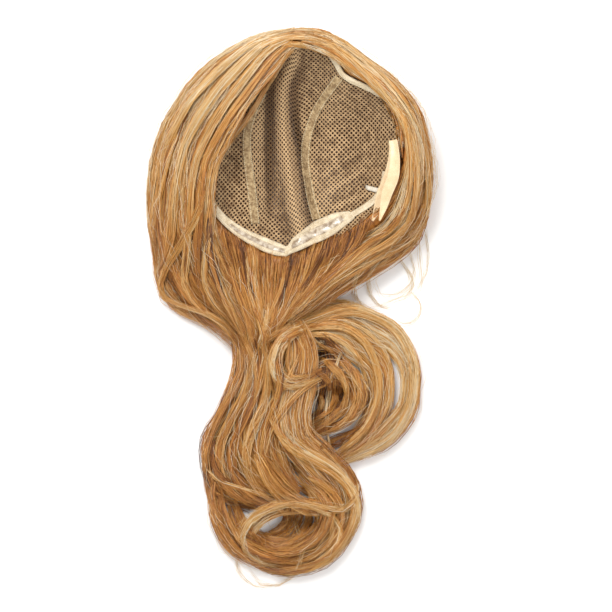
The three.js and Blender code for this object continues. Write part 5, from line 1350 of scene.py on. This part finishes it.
    # Slow bends that neighbours share, and a finer unrest of each strand's own, which a few strays have most.
    half = (0.5, 0.5, 0.5)
    position = add("GeometryNodeInputPosition")
    bends = add("ShaderNodeTexNoise", {"Vector": position, "Scale": strandLook["bendScale"], "Detail": 1.0})
    bendSize = add("ShaderNodeVectorMath", {0: bends.outputs["Color"], 1: half}, operation="SUBTRACT")
    bent = add("ShaderNodeVectorMath", {0: bendSize, "Scale": given["Wave"]}, operation="SCALE")
    ownWay = add("ShaderNodeMath", {0: first[2], 1: 60.0}, operation="MULTIPLY")
    unrestAt = {"Vector": position, "W": ownWay, "Scale": strandLook["unrestScale"], "Detail": 1.5}
    unrest = add("ShaderNodeTexNoise", unrestAt, noise_dimensions="4D")
    unrestSize = add("ShaderNodeVectorMath", {0: unrest.outputs["Color"], 1: half}, operation="SUBTRACT")
    few = strandLook["strayShare"]
    strayRange = {"Value": second[0], "From Max": few, "To Min": given["Stray"], "To Max": 1.0}
    stray = add("ShaderNodeMapRange", strayRange)
    growing = add("ShaderNodeMath", {0: read["along"], 1: 0.7, 2: 0.3}, operation="MULTIPLY_ADD")
    restless = add("ShaderNodeMath", {0: growing, 1: stray}, operation="MULTIPLY")
    frizz = add("ShaderNodeMath", {0: restless, 1: given["Frizz"]}, operation="MULTIPLY")
    ownBend = add("ShaderNodeVectorMath", {0: unrestSize, "Scale": frizz}, operation="SCALE")
    moved = add("ShaderNodeVectorMath", {0: bent, 1: ownBend}, operation="ADD")
    offset = add("ShaderNodeVectorMath", {0: moved, 1: inLock}, operation="ADD")
    target = add("ShaderNodeVectorMath", {0: position, 1: offset}, operation="ADD")
    split = add("ShaderNodeSeparateXYZ", {0: target}).outputs
    overFloor = add("ShaderNodeMath", {0: split[2], 1: strandLook["overFloor"] * mm}, operation="MAXIMUM")
    landed = add("ShaderNodeCombineXYZ", {0: split[0], 1: split[1], 2: overFloor})

    # Light and dark streaks a few millimetres wide, with some change along the lock and between strands.
    streakAt = add("ShaderNodeCombineXYZ", {0: inClumps, 1: apart, 2: read["along"]})
    streakLook = {"Vector": streakAt, "Scale": strandLook["streakScale"], "Detail": 3.0}
    streak = add("ShaderNodeTexNoise", streakLook)
    streaked = add("ShaderNodeMath", {0: streak.outputs["Fac"], 1: 0.5}, operation="SUBTRACT")
    tone = {0: streaked, 1: given["Streak"], 2: read["shade"]}
    toned = add("ShaderNodeMath", tone, operation="MULTIPLY_ADD")
    much = strandLook["single"]
    single = add("ShaderNodeMapRange", {"Value": third[2], "To Min": -much, "To Max": much})
    tinted = add("ShaderNodeMath", {0: toned, 1: single}, operation="ADD")
    # Painted shade and light: strands deep in the lock are darker, outer ones paler.
    depth = {"Value": shell, "From Min": 0.75, "From Max": 1.15}
    depthShadeRange = {**depth, "To Min": strandLook["inner"], "To Max": strandLook["outer"]}
    outer = add("ShaderNodeMapRange", depthShadeRange)
    final = add("ShaderNodeMath", {0: tinted, 1: outer}, operation="ADD", use_clamp=True)
    kept = {"Geometry": stepped, "Name": "tint", "Value": final}
    stored = add("GeometryNodeStoreNamedAttribute", kept, domain="POINT")
    shaped = add("GeometryNodeSetPosition", {"Geometry": stored, "Position": landed})

    param = add("GeometryNodeSplineParameter")
    endRange = {"Value": param, "From Min": 0.8, "To Min": 1.0, "To Max": 0.3}
    toEnd = add("ShaderNodeMapRange", endRange)
    own = add("ShaderNodeMapRange", {"Value": second[0], "To Min": 0.7, "To Max": 1.3})
    thin = add("ShaderNodeMath", {0: toEnd, 1: own}, operation="MULTIPLY")
    radius = add("ShaderNodeMath", {0: thin, 1: given["Radius"]}, operation="MULTIPLY")
    section = add("GeometryNodeCurvePrimitiveCircle", {"Resolution": 3, "Radius": 1.0})
    tubed = {"Curve": shaped, "Profile Curve": section, "Scale": radius, "Fill Caps": True}
    tubes = add("GeometryNodeCurveToMesh", tubed)
    real = add("GeometryNodeRealizeInstances", {0: tubes})
    soft = add("GeometryNodeSetShadeSmooth", {0: real})
    finish = add("GeometryNodeSetMaterial", {0: soft, "Material": given["Finish"]})
    add("NodeGroupOutput", {0: finish})
    return tree


strandsAlongLocks = strandTree()


def lockWidth(guide):
    return 2 * np.linalg.norm(guide["side"], axis=1).max()


def combStrands(name, guides, seed, **changes):  # guides are frames with strands, stations and shade
    points, edges, start = [], [], 0
    columns = {key: [] for key in guideColumns}
    for number, guide in enumerate(guides):
        count = len(guide["middle"])
        points.append(guide["middle"])
        edges += [(start + i, start + i + 1) for i in range(count - 1)]
        start += count
        told = {
            **guide, "side": guide["side"] * mm, "lift": guide["lift"] * mm,
            "clumps": max(1.0, lockWidth(guide) / clumpWidth), "lockId": seed + number * lockIdStep,
        }
        for key, kind in guideColumns.items():
            shape = (count, 3) if kind == "FLOAT_VECTOR" else (count,)
            columns[key].append(np.broadcast_to(told[key], shape))
    host = lineHost(name, points, edges)
    for key, kind in guideColumns.items():
        values = np.concatenate(columns[key]).astype(int if kind == "INT" else float)
        storeValues(host.data, key, kind, values)
    values = {**combing, "Finish": hairFinish, "Seed": seed * 10, **changes}
    host.data = runTree(host, strandsAlongLocks, values)
    return host


def oneMesh(name, pieces):
    chosen = {"active_object": pieces[0], "selected_editable_objects": pieces, "selected_objects": pieces}
    with bpy.context.temp_override(**chosen):
        bpy.ops.object.join()
    made = pieces[0]
    made.name = made.data.name = name
    for extra in [a.name for a in made.data.attributes if a.name in guideColumns]:
        made.data.attributes.remove(made.data.attributes[extra])
    return made


def triangles(piece):
    return sum(len(p.vertices) - 2 for p in piece.data.polygons)


# Hair near the net lies wholly over it or wholly under it, by these distances in millimetres.
netClear = {"over": 2.3, "under": 2.2, "overTo": 1.03, "underTo": 1.055}


def clearOfNet(piece, above):
    points = meshPoints(piece.data)
    share = capShare(points[:, 0], points[:, 1])[0]
    height = netHeight(points[:, 0], points[:, 1])
    if above:
        lifted = np.maximum(points[:, 2], height + netClear["over"])
        points[:, 2] = np.where(share < netClear["overTo"], lifted, points[:, 2])
    else:
        pressed = np.minimum(points[:, 2], height - netClear["under"])
        points[:, 2] = np.where(share < netClear["underTo"], pressed, points[:, 2])
    moveMesh(piece.data, points)


# The hair that the cap is sewn to: a thick bowl, with strands round its outside from the parting to the nape.
# out and rise are shares of the skirt's reach and of the edge's height.
skirtProfile = table(
    "out rise lip",
    (0.12, 1, 0.7), (0.4, 1, 1), (0.75, 0.84, 0.5), (0.97, 0.55, 0), (1, 0.28, 0), (0.85, 0, 0),
)
# The bowl lies under the net, deeper towards its middle and less at its rim. Its strands run from beside the
# parting to the two ends of the nape, in degrees.
crown = {
    "spokes": 96, "under": 2.8, "deeper": 4.0, "deeperTo": 0.7, "rim": 1.4, "rimFrom": 0.75, "furrow": 0.5,
    "furrows": 60, "lip": 1.04, "inward": 2.0, "foot": 0.05, "floor": 0.2, "tint": 0.3, "shade": 0.44,
    "strands": 36, "stations": 16, "lift": 2.6, "leftFrom": 93, "leftTo": 226, "rightFrom": 87,
    "rightTo": -44,
}
crownShares = (0.004, *np.linspace(0.08, 0.96, 12), crown["lip"])
guideRows = {"to": 4.4, "count": 7, "half": 0.3, "points": 60, "wide": 0.75, "inset": 1.2, "tilt": 0.6}


def skirtPoints(angle, row, inward=0.0):
    edgeHeight = edgeAt("rise", angle) * capSizes["rest"]
    start = spokePoint(angle, crown["lip"])
    out = columnAt(skirtProfile, "out", row) * edgeAt("skirt", angle) * hairSizes["skirt"] - inward
    lip = columnAt(skirtProfile, "lip", row) * hairSizes["lip"]
    z = columnAt(skirtProfile, "rise", row) * edgeHeight + lip
    x, y = start[..., 0] + np.cos(angle) * out, start[..., 1] + np.sin(angle) * out
    return np.stack([x, y, np.maximum(z, crown["floor"]) + 0 * out], -1)


def crownBody():
    angle = np.linspace(0, wholeTurn, crown["spokes"], endpoint=False)
    furrow = crown["furrow"] * np.sin(angle * crown["furrows"])
    rings = []
    for share in crownShares:
        place = spokePoint(angle, share)
        deeper = crown["deeper"] * (1 - smoothStep((share - crown["deeperTo"]) / 0.24))
        rim = crown["rim"] * smoothStep((share - crown["rimFrom"]) / 0.17)
        off = -crown["under"] - deeper - rim + furrow * share
        ring = offsetPoints(bowlHeight, place[:, 0], place[:, 1], off)
        ring[:, 2] = np.minimum(ring[:, 2], netHeight(ring[:, 0], ring[:, 1]) - crown["under"] - deeper)
        rings.append(ring)
    for row in np.linspace(0, 5, 11):
        rings.append(skirtPoints(angle, row, crown["inward"] + furrow))
    foot = spokePoint(angle, crown["foot"])
    rings.append(np.stack([foot[:, 0], foot[:, 1], 0 * angle + crown["floor"]], -1))
    return np.stack(rings)


# Painted shade: the bowl under the net, seen through its holes, is tinted darkest brown; outside the net it
# is tinted as dark as the lock bodies, painted shade between its strands.
def crownShadeTints(count):  # darkest under the net, then as bright as the hair that lies over it
    underNet = crown["spokes"] * (len(crownShares) - 1)
    return np.where(np.arange(count) < underNet, 0.0, crown["tint"])


def crownGuides():
    guides = []
    along = np.linspace(0, 1, guideRows["points"])
    for start, end in ((crown["leftFrom"], crown["leftTo"]), (crown["rightFrom"], crown["rightTo"])):
        angle = np.radians(np.linspace(start, end, guideRows["points"]))
        outward = np.stack([np.cos(angle), np.sin(angle), guideRows["tilt"] + 0 * angle], -1)
        for row in np.linspace(0.0, guideRows["to"], guideRows["count"]):
            middle = skirtPoints(angle, row)
            upper, lower = max(0, row - guideRows["half"]), min(5, row + guideRows["half"])
            side = (skirtPoints(angle, upper) - skirtPoints(angle, lower)) * guideRows["wide"]
            lift = np.cross(np.gradient(middle, axis=0), side)
            lift /= np.maximum(np.linalg.norm(lift, axis=1, keepdims=True), 1e-6)
            lift *= np.sign((lift * outward).sum(1, keepdims=True))
            guides.append({
                "middle": middle - guideRows["inset"] * lift, "side": side, "lift": lift * crown["lift"],
                "along": along, "shade": crown["shade"], "strands": crown["strands"],
                "stations": crown["stations"],
            })
    return guides


# A lock has so many stations, and is paler by so much at its root, where it is straw at the parting.
stationsOf = {
    "front_hair_left": 19, "front_hair_right": 20, "nape_hair": 10, "end_curl": 22, "right_wave": 22,
}
usualStations = 18
palerRoot = {"front_hair_left": 0.2, "front_hair_right": 0.2, "right_wave": 0.12, "loop_lock": 0.3}


def lockGuides(name):
    stations = stationsOf.get(name, usualStations)
    guides = []
    for one in hairMasses[name]:
        for index in range(one["locks"]):
            guide = lockFrames(one["rows"], one["locks"], index, 3 * stations)
            shade = one["shade"] + palerRoot.get(name, 0) * (1 - guide["along"]) ** 2
            guide.update(strands=int(lockWidth(guide) * one["perWidth"]), stations=stations, shade=shade)
            guides.append(guide)
    return guides


# First the bodies, which the laid locks rest on, then the strands.
guidesOf = {name: lockGuides(name) for name in hairMasses}
bodiesOf = {name: [lockBody(guide) for guide in guides] for name, guides in guidesOf.items()}
bodiesOf["crown_hair"] = [crownBody()]
ground = heightMap([loftRings(rings) for bodies in bodiesOf.values() for rings in bodies])
laidOrder = (
    "nape_hair", "left_wave", "end_curl", "inner_curl", "right_wave", "front_hair_left", "front_hair_right",
    "loop_lock",
)
underCap = ("nape_hair", "crown_hair")
# The dense lock bodies are tinted darker than their strands: painted shade in the gaps between strands.
bodyShadeTint = 0.3
flyawayShare, flyawayShade = 0.1, 0.8
wispPerWidth = 3  # a laid lock with so few strands is a wisp


def combMass(name, seed):  # a mass's own strands and fly-away hair, then what lies on it
    loose = []
    for guide in guidesOf[name]:
        strands = max(4, int(guide["strands"] * flyawayShare))
        loose.append({**guide, "shade": flyawayShade, "strands": strands})
    combed = [combStrands(name + "_strands", guidesOf[name], seed)]
    combed.append(combStrands(name + "_loose", loose, seed + 40, **flyaways))
    locks = [lock for lock in laidLocks[name] if lock["perWidth"] > wispPerWidth]
    wisps = [lock for lock in laidLocks[name] if lock["perWidth"] <= wispPerWidth]
    for some, ending, later, look in ((locks, "_laid", 20, laidCombing), (wisps, "_wisps", 60, wispCombing)):
        if some:
            guides = [layLock(ground, lock) for lock in some]
            combed.append(combStrands(name + ending, guides, seed + later, **look))
    return combed


hair = {}
for seed, name in enumerate((*laidOrder, "crown_hair"), 1):
    parts = [loftRings(rings) for rings in bodiesOf[name]]
    body = newPiece(name + "_body", *joinMeshes(parts), hairFinish)
    count = len(body.data.vertices)
    tints = crownShadeTints(count) if name == "crown_hair" else np.full(count, bodyShadeTint)
    storeValues(body.data, "tint", "FLOAT", tints)
    fibre = [fibrePlaces(rings, seed * 10 + i) for i, rings in enumerate(bodiesOf[name])]
    storeValues(body.data, "fibre", "FLOAT_VECTOR", np.concatenate(fibre))
    if name == "left_wave":
        raiseToCap(ground)
    if name == "crown_hair":
        combed = [combStrands("crown_strands", crownGuides(), seed, **crownCombing)]
    else:
        combed = combMass(name, seed)
    hair[name] = oneMesh(name + "_combed", [body, *combed])
    clearOfNet(hair[name], name not in underCap)
    print(name, triangles(hair[name]), "triangles")

added = [netCloth, stitches, *trim.values(), *hair.values()]
print("all that is added:", sum(triangles(piece) for piece in added), "triangles")

# What each piece stands for.
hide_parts("net_cap")
for name, piece in {**trim, **hair}.items():
    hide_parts(name)
for piece in added:
    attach(piece, "root")
